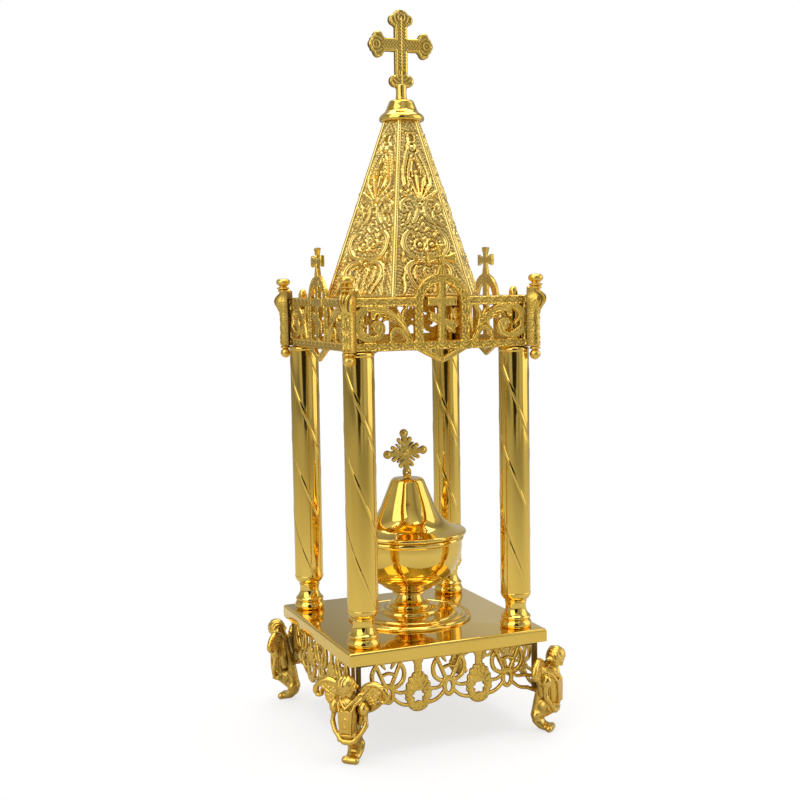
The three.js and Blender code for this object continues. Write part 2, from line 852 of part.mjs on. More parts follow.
function cupFoot() {
  const r = cupFootDiameter / 2;
  const h = cupFootHeight;
  const collar = cupCollarDiameter / 2;
  return turned(
    [
      [0, 0],
      [0.985 * r, 0],
      [r, 0.08 * h],
      [0.95 * r, 0.13 * h],
      [0.92 * r, 0.07 * h],
      [0.8 * r, 0.24 * h],
      [0.48 * r, 0.28 * h],
      [0.42 * r, 0.44 * h],
      [0.2 * r, h],
      [collar, h],
      [collar, h + cupCollar],
      [0, h + cupCollar],
    ],
    cupSides,
  );
}
place("cup_foot", cupFoot(), polished).position.z = trayTop;

function cupBowl() {
  const r = cupDiameter / 2;
  const h = cupHeight;
  const w = cupWall;
  return turned(
    [
      [0, 0],
      [0.26 * r, 0],
      [0.55 * r, 0.15 * h],
      [0.76 * r, 0.29 * h],
      [0.94 * r, 0.63 * h],
      [0.98 * r, 0.92 * h],
      [r, 0.94 * h],
      [r, h],
      [0.98 * r - w, h],
      [0.94 * r - w, 0.63 * h],
      [0.76 * r - w, 0.29 * h + 0.7 * w],
      [0.55 * r - w, 0.15 * h + w],
      [0, w],
    ],
    cupSides,
  );
}
place("cup_bowl", cupBowl(), polished).position.z = cupSeat;

function cupLid() {
  const r = lidDiameter / 2;
  const t = lidTopDiameter / 2;
  const h = lidHeight;
  const w = cupWall;
  const plug = 0.94 * (cupDiameter / 2) - w - gap;
  const outer = [
    [r - 0.6, 0],
    [r, 0.6 * lidLip],
    [r - 2, lidLip],
    [THREE.MathUtils.lerp(t, r, 0.6), 0.22 * h],
    [THREE.MathUtils.lerp(t, r, 0.22), 0.64 * h],
    [t, h],
    [0, h],
  ];
  const inner = [
    [0, h - w],
    [t - w, h - w],
    [THREE.MathUtils.lerp(t, r, 0.22) - w, 0.64 * h - 0.5 * w],
    [THREE.MathUtils.lerp(t, r, 0.6) - w, 0.22 * h - w],
    [plug - w, 0.2 * lidLip],
    [plug - w, -lidSpigot],
    [plug, -lidSpigot],
    [plug, 0],
  ];
  return turned([...outer, ...inner, outer[0]], cupSides);
}
place("cup_lid", cupLid(), polished).position.z = lidSeat;

export default tabernacle;
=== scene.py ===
import math

import bmesh
import bpy
import numpy as np
from mathutils import Matrix, Vector


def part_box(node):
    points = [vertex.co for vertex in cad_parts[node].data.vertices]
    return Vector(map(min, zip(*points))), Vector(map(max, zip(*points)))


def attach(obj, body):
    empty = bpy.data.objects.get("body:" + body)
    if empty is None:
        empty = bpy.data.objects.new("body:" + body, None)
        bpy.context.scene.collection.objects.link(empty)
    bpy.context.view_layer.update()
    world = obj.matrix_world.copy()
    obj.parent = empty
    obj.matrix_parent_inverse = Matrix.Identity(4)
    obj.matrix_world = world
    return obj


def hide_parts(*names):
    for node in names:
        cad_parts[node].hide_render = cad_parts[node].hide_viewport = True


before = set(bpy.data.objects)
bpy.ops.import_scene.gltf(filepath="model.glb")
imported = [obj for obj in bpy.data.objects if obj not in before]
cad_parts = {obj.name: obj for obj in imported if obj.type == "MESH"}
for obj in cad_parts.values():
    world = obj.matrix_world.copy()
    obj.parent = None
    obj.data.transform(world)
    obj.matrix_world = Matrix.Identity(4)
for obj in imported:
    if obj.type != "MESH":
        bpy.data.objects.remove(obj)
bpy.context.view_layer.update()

MM = 0.001


# Camera, floor and light. The part stands on a plain pale floor in a white room, lit by wide soft
# boxes. Beyond the front edge of the floor the room is dark, and polished gold mirrors that gap.

camera_data = bpy.data.cameras.new("camera")
camera_data.sensor_width = 36
camera_data.lens = 57.40
camera_data.clip_start = 0.05
camera_data.clip_end = 20
camera = bpy.data.objects.new("camera", camera_data)
bpy.context.scene.collection.objects.link(camera)
bpy.context.scene.camera = camera
bpy.context.scene.view_settings.view_transform = "Standard"
yaw, pitch, roll = 0.388, 0.0893, -0.0164
camera.matrix_world = (
    Matrix.Translation(Vector((-356.71, -860.97, 319.48)) * MM)
    @ Matrix.Rotation(-yaw, 4, "Z")
    @ Matrix.Rotation(math.pi / 2 - pitch, 4, "X")
    @ Matrix.Rotation(roll, 4, "Z")
)


def soft_box(name, place, target, width, height, power, colour):
    """A lamp behind a cloth, width by height metres, that faces the target."""
    data = bpy.data.lights.new(name, "AREA")
    data.shape = "RECTANGLE"
    data.size = width
    data.size_y = height
    data.energy = power
    data.color = colour
    lamp = bpy.data.objects.new(name, data)
    lamp.location = place
    lamp.rotation_mode = "QUATERNION"
    lamp.rotation_quaternion = (Vector(target) - Vector(place)).to_track_quat("-Z", "Y")
    bpy.context.scene.collection.objects.link(lamp)


middle = (0, 0, 0.26)
soft_box("key_soft_box", (-1.5, -0.8, 1.2), middle, 1.8, 2.1, 17, (1.0, 0.98, 0.95))
soft_box("fill_soft_box", (1.6, -0.6, 0.7), middle, 1.6, 2.0, 10, (1.0, 0.97, 0.93))
soft_box("top_soft_box", (0.1, 0.2, 1.8), middle, 1.6, 1.6, 24, (1.0, 0.99, 0.97))


class Socket:
    """One output of a shader node. Sums and products of outputs add Math nodes."""

    def __init__(self, nodes, output):
        self.nodes = nodes
        self.output = output

    def maths(self, operation, *others):
        return self.nodes.add("ShaderNodeMath", {"operation": operation}, self, *others)

    def __add__(self, other):
        return self.maths("ADD", other)

    def __sub__(self, other):
        return self.maths("SUBTRACT", other)

    def __mul__(self, other):
        return self.maths("MULTIPLY", other)

    def __truediv__(self, other):
        return self.maths("DIVIDE", other)

    def __rsub__(self, other):
        return self.nodes.add("ShaderNodeMath", {"operation": "SUBTRACT"}, other, self)

    def ramp(self, low, high):
        """0 below low, 1 above high and even between them."""
        return self.nodes.add("ShaderNodeMapRange", {"clamp": True}, self, low, high, 0.0, 1.0)


class Nodes:
    """The node tree of a material or a world, and the one method that adds a node to it."""

    def __init__(self, owner):
        owner.use_nodes = True
        self.tree = owner.node_tree
        self.tree.nodes.clear()

    def add(self, kind, settings=None, *values, output=0, **named):
        """Adds a node, sets it, feeds its inputs by place or by name and gives one output."""
        node = self.tree.nodes.new(kind)
        for key, value in (settings or {}).items():
            if key == "stops":
                stops = node.color_ramp.elements
                while len(stops) < len(value):
                    stops.new(0.5)
                for stop, (position, colour) in zip(stops, value):
                    stop.position = position
                    stop.color = (*colour, 1)
            else:
                setattr(node, key, value)
        for place, value in [*enumerate(values), *named.items()]:
            key = place.replace("_", " ") if isinstance(place, str) else place
            if isinstance(value, Socket):
                self.tree.links.new(value.output, node.inputs[key])
            elif value is not None:
                node.inputs[key].default_value = value
        return Socket(self, node.outputs[output]) if len(node.outputs) else None

    def axes(self, place):
        """The three parts of a vector."""
        return [self.add("ShaderNodeSeparateXYZ", None, place, output=axis) for axis in range(3)]

    def blend(self, factor, first, second, kind="MIX"):
        """One colour turning into another as the factor goes from 0 to 1."""
        node = self.tree.nodes.new("ShaderNodeMix")
        node.data_type = "RGBA"
        node.blend_type = kind
        for place, value in ((0, factor), (6, first), (7, second)):
            if isinstance(value, Socket):
                self.tree.links.new(value.output, node.inputs[place])
            else:
                node.inputs[place].default_value = value
        return Socket(self, node.outputs[2])


world = bpy.data.worlds.new("studio")
bpy.context.scene.world = world
studio = Nodes(world)
direction = studio.add("ShaderNodeTexCoord", output=0)
east, north, height = studio.axes(direction)
toward = east * -math.sin(yaw) + north * -math.cos(yaw)
across = east * math.cos(yaw) + north * -math.sin(yaw)
wall_tones = [
    (0.0, (0.50, 0.50, 0.50)), (0.50, (0.54, 0.54, 0.54)), (0.62, (0.56, 0.56, 0.55)),
    (0.80, (0.46, 0.46, 0.45)), (1.0, (0.80, 0.80, 0.79))]
fold_greys = [
    (0.0, 0.95), (0.16, 0.62), (0.24, 1.0), (0.40, 0.86), (0.46, 0.58), (0.54, 1.0), (0.70, 0.78),
    (0.76, 0.50), (0.84, 1.0), (1.0, 0.90)]
fold_tones = [(place, (grey, grey, grey)) for place, grey in fold_greys]
walls = studio.add("ShaderNodeValToRGB", {"stops": wall_tones}, (height + 1) * 0.5)
folds = studio.add("ShaderNodeValToRGB", {"stops": fold_tones}, (across + 1) * 0.5)
room = studio.blend(1.0, walls, folds, "MULTIPLY")
gap_low, gap_high, gap_half, gap_taper, gap_edge = -0.157, 0.55, 0.36, 0.16, 0.02
gap_width = height.ramp(gap_low, -0.052) * gap_half - height.ramp(0.0, 0.5) * gap_taper
sideways = across.maths("ABSOLUTE") / toward.maths("MAXIMUM", 0.01)
in_gap = (gap_width - sideways).ramp(-gap_edge, gap_edge)
gap = in_gap * toward.ramp(0.0, 0.05) * (gap_high - height).ramp(0.0, 0.03)
room = studio.blend(gap, room, (0.022, 0.018, 0.014, 1))
seen = studio.add("ShaderNodeLightPath", output=0)
shown = studio.blend(seen, room, (1.0, 1.0, 1.0, 1.0))
studio.add("ShaderNodeOutputWorld", None, studio.add("ShaderNodeBackground", None, shown, 1.0))

floor_side, floor_front, floor_back = 4.0, -1.7, 7.0
floor_corners = [
    (-floor_side, floor_front, 0), (floor_side, floor_front, 0),
    (floor_side, floor_back, 0), (-floor_side, floor_back, 0)]
floor_mesh = bpy.data.meshes.new("floor")
floor_mesh.from_pydata(floor_corners, [], [(0, 1, 2, 3)])
floor = bpy.data.objects.new("floor", floor_mesh)
bpy.context.scene.collection.objects.link(floor)
paper = bpy.data.materials.new("white_paper")
sheet = Nodes(paper)
tone = sheet.add("ShaderNodeTexNoise", None, Scale=3.0, output=0)
pale = sheet.blend(tone, (0.94, 0.94, 0.935, 1), (0.97, 0.97, 0.965, 1))
spot = sheet.add("ShaderNodeTexCoord", output=3)
far = sheet.add("ShaderNodeVectorMath", {"operation": "LENGTH"}, spot, output=1)
spot_x, spot_y, _ = sheet.axes(spot)
facing = (spot_x * -math.sin(yaw) + spot_y * -math.cos(yaw)) / far.maths("MAXIMUM", 0.01)
# Painted shade: reflections and bounced light see a grey copy of the paper. It is darker away from the part,
# and darker still far off on the camera's side. The camera sees the paper pale.
shaded_paper = sheet.blend(tone, (0.56, 0.56, 0.55, 1), (0.60, 0.60, 0.59, 1))
shaded_paper = sheet.blend(far.ramp(0.5, 1.4), shaded_paper, (0.47, 0.47, 0.465, 1))
shaded_paper = sheet.blend(facing.ramp(0.1, 0.6) * far.ramp(0.5, 1.3), shaded_paper, (0.33, 0.33, 0.325, 1))
looked_at = sheet.add("ShaderNodeLightPath", output=0)
lit = sheet.add("ShaderNodeBsdfPrincipled", None, Base_Color=sheet.blend(looked_at, shaded_paper, pale), Roughness=0.9)
white = far.ramp(0.10, 0.30) * 0.3 + 0.7
bright = sheet.add("ShaderNodeEmission", None, (1, 1, 1, 1), 1.0)
seen_floor = sheet.add("ShaderNodeMixShader", None, white * looked_at, lit, bright)
sheet.add("ShaderNodeOutputMaterial", None, seen_floor)
floor_mesh.materials.append(paper)


# Tray: a square box pressed from brass sheet, polished and gilded. Its upper edges are rounded,
# its corners are soldered and filed nearly sharp, and it is open below.


def gilding(name, colour, deep, roughness, patch_scale, bump=0.0, grain=900.0, wax=0.0, pebble=0.0):
    """Gold plate on brass. Deep is its tone in patches, wax how far hollows are darkened to brown-black, as
    dark wax and painted shade, pebble the sand's print.
    """
    material = bpy.data.materials.new(name)
    nodes = Nodes(material)
    place = nodes.add("ShaderNodeTexCoord", output=3)
    patches = nodes.add(
        "ShaderNodeTexNoise", None, place, Scale=patch_scale, Detail=4.0, Roughness=0.6, output=0)
    fine = nodes.add("ShaderNodeTexNoise", None, place, Scale=grain, Detail=2.0, output=0)
    shade = nodes.blend(patches.ramp(0.35, 0.65), (*colour, 1), (*deep, 1))
    rough = patches * (0.4 * roughness) + fine * (0.2 * roughness) + 0.7 * roughness
    if wax:
        # Painted shade with dark wax: the hollows are darkened to brown-black and made rougher.
        hollow = nodes.add("ShaderNodeAttribute", {"attribute_name": "hollow"}, output=2)
        wax_and_shade = (hollow + (fine - 0.5) * 0.25).ramp(0.45, 1.0) * wax
        shade = nodes.blend(wax_and_shade, shade, (0.085, 0.045, 0.012, 1))
        rough = rough + wax_and_shade * 0.35
    surface = {"Base_Color": shade, "Roughness": rough, "Metallic": 1.0}
    if bump:
        pebbles = fine
        if pebble:
            cells = nodes.add("ShaderNodeTexVoronoi", None, place, Scale=pebble, output=0)
            pebbles = fine * 0.5 - cells * 0.9
        surface["Normal"] = nodes.add(
            "ShaderNodeBump", None, Strength=bump, Distance=0.0004, Height=pebbles)
    nodes.add("ShaderNodeOutputMaterial", None, nodes.add(
        "ShaderNodeBsdfPrincipled", None, **surface))
    return material


def piece(name, verts, faces, material, slot, replaces, crease=38, hollow=None):
    """A new mesh in millimetres, riding on the part in the place of the CAD nodes named."""
    mesh = bpy.data.meshes.new(name)
    mesh.from_pydata((np.asarray(verts) * MM).tolist(), [], faces)
    mesh.materials.append(material)
    mesh.shade_smooth()
    mesh.set_sharp_from_angle(angle=math.radians(crease))
    if hollow is not None:
        mesh.attributes.new("hollow", "FLOAT", "POINT").data.foreach_set("value", hollow)
    thing = bpy.data.objects.new(name, mesh)
    bpy.context.scene.collection.objects.link(thing)
    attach(thing, "root")
    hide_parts(*replaces)
    return thing


def millimetres(node):
    """The low and high corner of a CAD node's box."""
    low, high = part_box(node)
    return np.array(low) / MM, np.array(high) / MM


def rings_to_faces(rings, around, close_start=False, close_end=False):
    """Quads between rings of equal count, with a flat face over an end that is closed."""
    faces = []
    for ring in range(rings - 1):
        for k in range(around):
            a = ring * around + k
            b = ring * around + (k + 1) % around
            faces.append((a, b, b + around, a + around))
    if close_start:
        faces.append(tuple(range(around - 1, -1, -1)))
    if close_end:
        faces.append(tuple((rings - 1) * around + k for k in range(around)))
    return faces


def rounded_square(half, corner, steps=6):
    """Points round a square of the given half width, its corners rounded."""
    points = []
    for quarter in range(4):
        for step in range(steps + 1):
            turn = math.pi / 2 * (quarter + step / steps)
            cx = (half - corner) * (1 if quarter in (0, 3) else -1)
            cy = (half - corner) * (1 if quarter in (0, 1) else -1)
            points.append((cx + corner * math.cos(turn), cy + corner * math.sin(turn)))
    return points


polished = gilding(
    "polished_gold", (0.86, 0.60, 0.135), (0.84, 0.565, 0.11), roughness=0.075, patch_scale=11.0)

tray_low, tray_high = millimetres("base_tray")
tray_half = tray_high[0]
tray_bottom, tray_top = tray_low[2], tray_high[2]
tray_wall, tray_edge, tray_corner, edge_steps = 1.6, 1.8, 0.9, 6
tray_inside = tray_half - tray_wall
tray_levels = [(tray_inside, tray_top - tray_wall), (tray_inside, tray_bottom), (tray_half, tray_bottom)]
for step in range(edge_steps + 1):
    turn = math.pi / 2 * step / edge_steps
    inward = tray_edge * (1 - math.cos(turn))
    tray_levels.append((tray_half - inward, tray_top - tray_edge + tray_edge * math.sin(turn)))
tray_verts = []
for half, z in tray_levels:
    tray_verts += [(x, y, z) for x, y in rounded_square(half, tray_corner)]
around_tray = len(rounded_square(1, tray_corner))
tray_faces = rings_to_faces(len(tray_levels), around_tray, True, True)
piece("tray", tray_verts, tray_faces, polished, "polished_gilding", ["base_tray"], 50)


# Columns: each is a turned foot, a drawn tube with three narrow ribs that twist round it, and a
# turned disc that a threaded rod clamps under the deck with a dome nut.


def smooth_run(points, steps=6):
    """The points of a curve through the given ones, as a template is filed for turning."""
    ends = [points[0], *points, points[-1]]
    run = []
    for a, b, c, d in zip(ends, ends[1:], ends[2:], ends[3:]):
        for step in range(steps):
            t = step / steps
            run.append(tuple(
                0.5 * (2 * q + (r - p) * t + (2 * p - 5 * q + 4 * r - s) * t * t
                       + (3 * q - p - 3 * r + s) * t ** 3)
                for p, q, r, s in zip(a, b, c, d)))
    return [*run, tuple(points[-1])]


def turned_mesh(stretches, centre, base, sides=60):
    """A turned form from stretches of (radius, height); each is smooth and they meet sharply."""
    profile = []
    for stretch in stretches:
        for point in smooth_run(stretch, 4) if len(stretch) > 2 else stretch:
            if not profile or math.dist(point, profile[-1]) > 0.02:
                profile.append(point)
    verts, faces, starts = [], [], []
    for radius, z in profile:
        starts.append(len(verts))
        count = 1 if radius < 0.02 else sides
        for k in range(count):
            turn = 2 * math.pi * k / sides
            verts.append((
                centre[0] + radius * math.cos(turn) * (count > 1),
                centre[1] + radius * math.sin(turn) * (count > 1),
                base + z))
    for i in range(len(profile) - 1):
        first, second = starts[i], starts[i + 1]
        single_first = profile[i][0] < 0.02
        single_second = profile[i + 1][0] < 0.02
        for k in range(sides):
            n = (k + 1) % sides
            if single_first:
                faces.append((first, second + n, second + k))
            elif single_second:
                faces.append((first + k, first + n, second))
            else:
                faces.append((first + k, first + n, second + n, second + k))
    return verts, faces


def centre_of(node):
    """The middle of a CAD node's box, and the heights of its foot and top."""
    low, high = millimetres(node)
    return (low + high) / 2, low[2], high[2]


corner_names = ["front_right", "back_right", "back_left", "front_left"]
column_offset = 58.5
column_radius = 10.7
foot_height = 25.6
tube_length = 172.0
ribs, twist_pitch = 3, 171.0
column_base = tray_top
tube_base = column_base + foot_height
tube_top = tube_base + tube_length
rib_crossing = {"front_left": 238.8, "front_right": 241.6, "back_left": 222.5, "back_right": 221.6}
camera_side = {"front_left": -1.927, "front_right": -2.048, "back_left": -1.884, "back_right": -1.995}
column_foot_profile = [
    [(0, 0), (10.2, 0)],
    [(10.2, 0), (11.1, 1), (11.4, 2.4), (11.1, 3.8), (10.4, 5.2), (9.7, 5.9)],
    [(9.7, 5.9), (9.9, 6.2), (10.5, 6.9), (10.6, 7.6), (10.3, 8.4), (9.3, 9.4), (8.4, 10.6),
     (7.7, 12.2), (7.35, 14), (7.3, 16), (7.5, 17.6), (7.9, 18.7)],
    [(7.9, 18.7), (7.6, 19.1), (7.7, 19.6), (8.2, 20.2), (9.3, 21.2), (10.3, 22.8), (10.8, 24.4),
     (10.9, 25.2), (10.75, 25.6)],
    [(10.75, 25.6), (0, 25.6)],
]
deck_low, deck_high = millimetres("roof_deck")
capital_height = deck_low[2] - tube_top
capital_profile = [
    [(0, 0), (10.3, 0)],
    [(10.3, 0), (10.7, 0.5), (10.9, 1.4), (10.8, 2.4), (10.2, 3.2), (9.0, 3.4)],
    [(9.0, 3.4), (7.4, 3.4)],
    [(7.4, 3.4), (6.3, 4.2), (6.0, 6.0), (6.0, 10.0)],
    [(6.0, 10.0), (6.0, capital_height), (0, capital_height)],
]


def twisted_tube(centre, crossing, facing):
    """Rows of points that follow the ribs, close together over each rib and wide between."""
    rib_reach, rib_rise, rib_spread = 0.2, 0.20, 0.05
    groove_depth, groove_at = 0.04, 0.13
    rows, fade_length = 72, 2.2
    apart = 2 * math.pi / ribs
    offsets = []
    for rib in range(ribs):
        offsets += [rib * apart + d for d in np.linspace(-rib_reach, rib_reach, 17)]
        offsets += [rib * apart + d for d in np.linspace(rib_reach, apart - rib_reach, 9)[1:-1]]
    offsets = np.array(offsets)
    from_rib = (offsets + apart / 2) % apart - apart / 2
    ridge = rib_rise * np.exp(-(from_rib / rib_spread) ** 2)
    groove = -groove_depth * np.exp(-((np.abs(from_rib) - groove_at) / rib_spread) ** 2)
    verts = []
    for row in range(rows + 1):
        z = tube_length * row / rows
        fade = min(1.0, z / fade_length, (tube_length - z) / fade_length)
        turn = facing - 2 * math.pi * (tube_base + z - crossing) / twist_pitch
        radii = column_radius + (ridge + groove) * fade
        verts += [
            (centre[0] + radius * math.cos(angle), centre[1] + radius * math.sin(angle), tube_base + z)
            for radius, angle in zip(radii, offsets + turn)]
    return verts, rings_to_faces(rows + 1, len(offsets), True, True)


for index, corner in enumerate(corner_names):
    turn = -math.pi / 4 + index * math.pi / 2
    from_middle = column_offset * math.sqrt(2)
    centre = (from_middle * math.cos(turn), from_middle * math.sin(turn))
    for kind, form in (
        ("column_foot_", turned_mesh(column_foot_profile, centre, column_base)),
        ("column_tube_", twisted_tube(centre, rib_crossing[corner], camera_side[corner])),
        ("column_capital_", turned_mesh(capital_profile, centre, tube_top)),
    ):
        piece(kind + corner, *form, polished, "polished_gilding", [kind + corner], 40)


def dome_nut(centre, base):
    """A six-sided nut with turned edges under a round cap."""
    sides, half_flat = 48, 3.05
    cap_radius, cap_seat, cap_rise = 2.75, 3.0, 3.4
    levels = [(2.9, 0), (3.3, 0.35), (3.3, 2.5), (2.95, 2.9), (cap_radius, cap_seat)]
    for t in np.linspace(0.1, 1.45, 9):
        levels.append((cap_radius * math.cos(t), cap_seat + cap_rise * math.sin(t)))
    verts = []
    for level, (limit, z) in enumerate(levels):
        for k in range(sides):
            turn = 2 * math.pi * k / sides
            flat = half_flat / math.cos((turn % (math.pi / 3)) - math.pi / 6)
            radius = min(limit + 0.2, flat) if level < 4 else limit
            verts.append((
                centre[0] + radius * math.cos(turn), centre[1] + radius * math.sin(turn), base + z))
    return verts, rings_to_faces(len(levels), sides, True, True)


for corner in corner_names:
    node = "dome_nut_" + corner
    nut_middle, nut_base, _ = centre_of(node)
    piece(node, *dome_nut(nut_middle, nut_base), polished, "polished_gilding", [node], 40)


# Cup: a spun foot with a rolled edge and a step, a spun bowl on its collar, and a bell-shaped
# lid that lifts off. All three are polished, and the bowl and lid are hollow.

cup_foot_profile = [
    [(0, 0), (45.2, 0)],
    [(45.2, 0), (45.7, 0.7), (45.5, 1.5), (44.8, 1.9), (44, 1.5), (43.4, 0.9)],
    [(43.4, 0.9), (42.6, 1), (41.8, 1.8), (41.2, 2.3), (40.2, 2.5)],
    [(40.2, 2.5), (38, 2.5), (36.8, 2.7), (35.9, 3.2), (35.2, 4.0)],
    [(35.2, 4.0), (33.6, 4.3), (28, 4.5), (23.2, 4.7), (21.6, 5.0)],
    [(21.6, 5.0), (21.3, 5.6), (20.8, 6.6), (19.6, 7.3), (18.2, 7.5)],
    [(18.2, 7.5), (16.8, 7.8), (15.4, 8.5)],
    [(15.4, 8.5), (15.7, 9.3), (15.3, 10.3), (14.2, 11.2), (12.6, 11.8)],
    [(12.6, 11.8), (11.4, 12.8), (10.0, 14.8), (9.0, 16.8), (8.6, 18.3)],
    [(8.6, 18.3), (12.0, 18.4)],
    [(12.0, 18.4), (12.5, 18.8), (12.6, 19.3), (12.3, 20.0), (11.6, 20.3)],
    [(11.6, 20.3), (0, 20.3)],
]
bowl_seat = 94.8
bowl_profile = [
    [(0, 0), (9.6, 0)],
    [(9.6, 0), (13.6, 0.6), (18.2, 2.6), (22.0, 5.6)],
    [(22.0, 5.6), (26.6, 8.2), (31.2, 12.2), (35.2, 18.0), (38.0, 24.6), (39.5, 31.4), (39.6, 37.4)],
    [(39.6, 37.4), (40.3, 37.7), (40.9, 38.8), (41.0, 39.9), (40.6, 41.1), (39.8, 41.6)],
    [(39.8, 41.6), (38.2, 41.6)],
    [(38.2, 41.6), (37.9, 36.0), (36.9, 29.6), (34.6, 22.0), (30.4, 15.2), (25.4, 10.6), (21.4, 7.6)],
    [(21.4, 7.6), (17.4, 4.8), (12.0, 2.4), (6.0, 1.4), (0, 1.2)],
]
lid_seat = 136.7
lid_profile = [
    [(37.4, 0.2), (41.9, 0.2)],
    [(41.9, 0.2), (42.6, 0.7), (42.8, 1.7), (42.5, 2.8), (41.4, 3.4)],
    [(41.4, 3.4), (37.6, 4.6), (33.2, 6.2), (29.4, 8.6), (25.8, 11.8), (22.6, 16.0), (20.0, 20.8),
     (17.6, 26.8), (15.4, 32.2), (13.2, 37.8)],
    [(13.2, 37.8), (12.2, 40.0), (10.8, 41.4), (8.6, 41.8), (0, 41.8)],
    [(0, 40.6), (8.6, 40.6), (10.6, 39.2), (13.8, 31.8), (16.2, 26.0), (18.6, 20.0), (21.4, 14.8),
     (24.8, 10.4), (28.6, 7.2), (33.0, 4.6), (35.0, 3.0), (35.1, 0.6)],
    [(35.1, 0.6), (35.1, -2.4), (36.1, -2.4), (36.1, 0.2), (37.4, 0.2)],
]


def closed_mesh(form):
    """Joins the first and last ring of a profile that closes on itself."""
    verts, faces = form
    mesh = bmesh.new()
    points = [mesh.verts.new(v) for v in verts]
    for face in faces:
        mesh.faces.new([points[i] for i in face])
    bmesh.ops.remove_doubles(mesh, verts=mesh.verts, dist=0.004)
    mesh.verts.index_update()
    made = [tuple(v.co) for v in mesh.verts], [tuple(v.index for v in f.verts) for f in mesh.faces]
    mesh.free()
    return made


cup_sides = 96
for name, form, crease in (
    ("cup_foot", turned_mesh(cup_foot_profile, (0, 0), tray_top, cup_sides), 30),
    ("cup_bowl", turned_mesh(bowl_profile, (0, 0), bowl_seat, cup_sides), 24),
    ("cup_lid", closed_mesh(turned_mesh(lid_profile, (0, 0), lid_seat, cup_sides)), 30),
):
    piece(name, *form, polished, "polished_gilding", [name], crease)
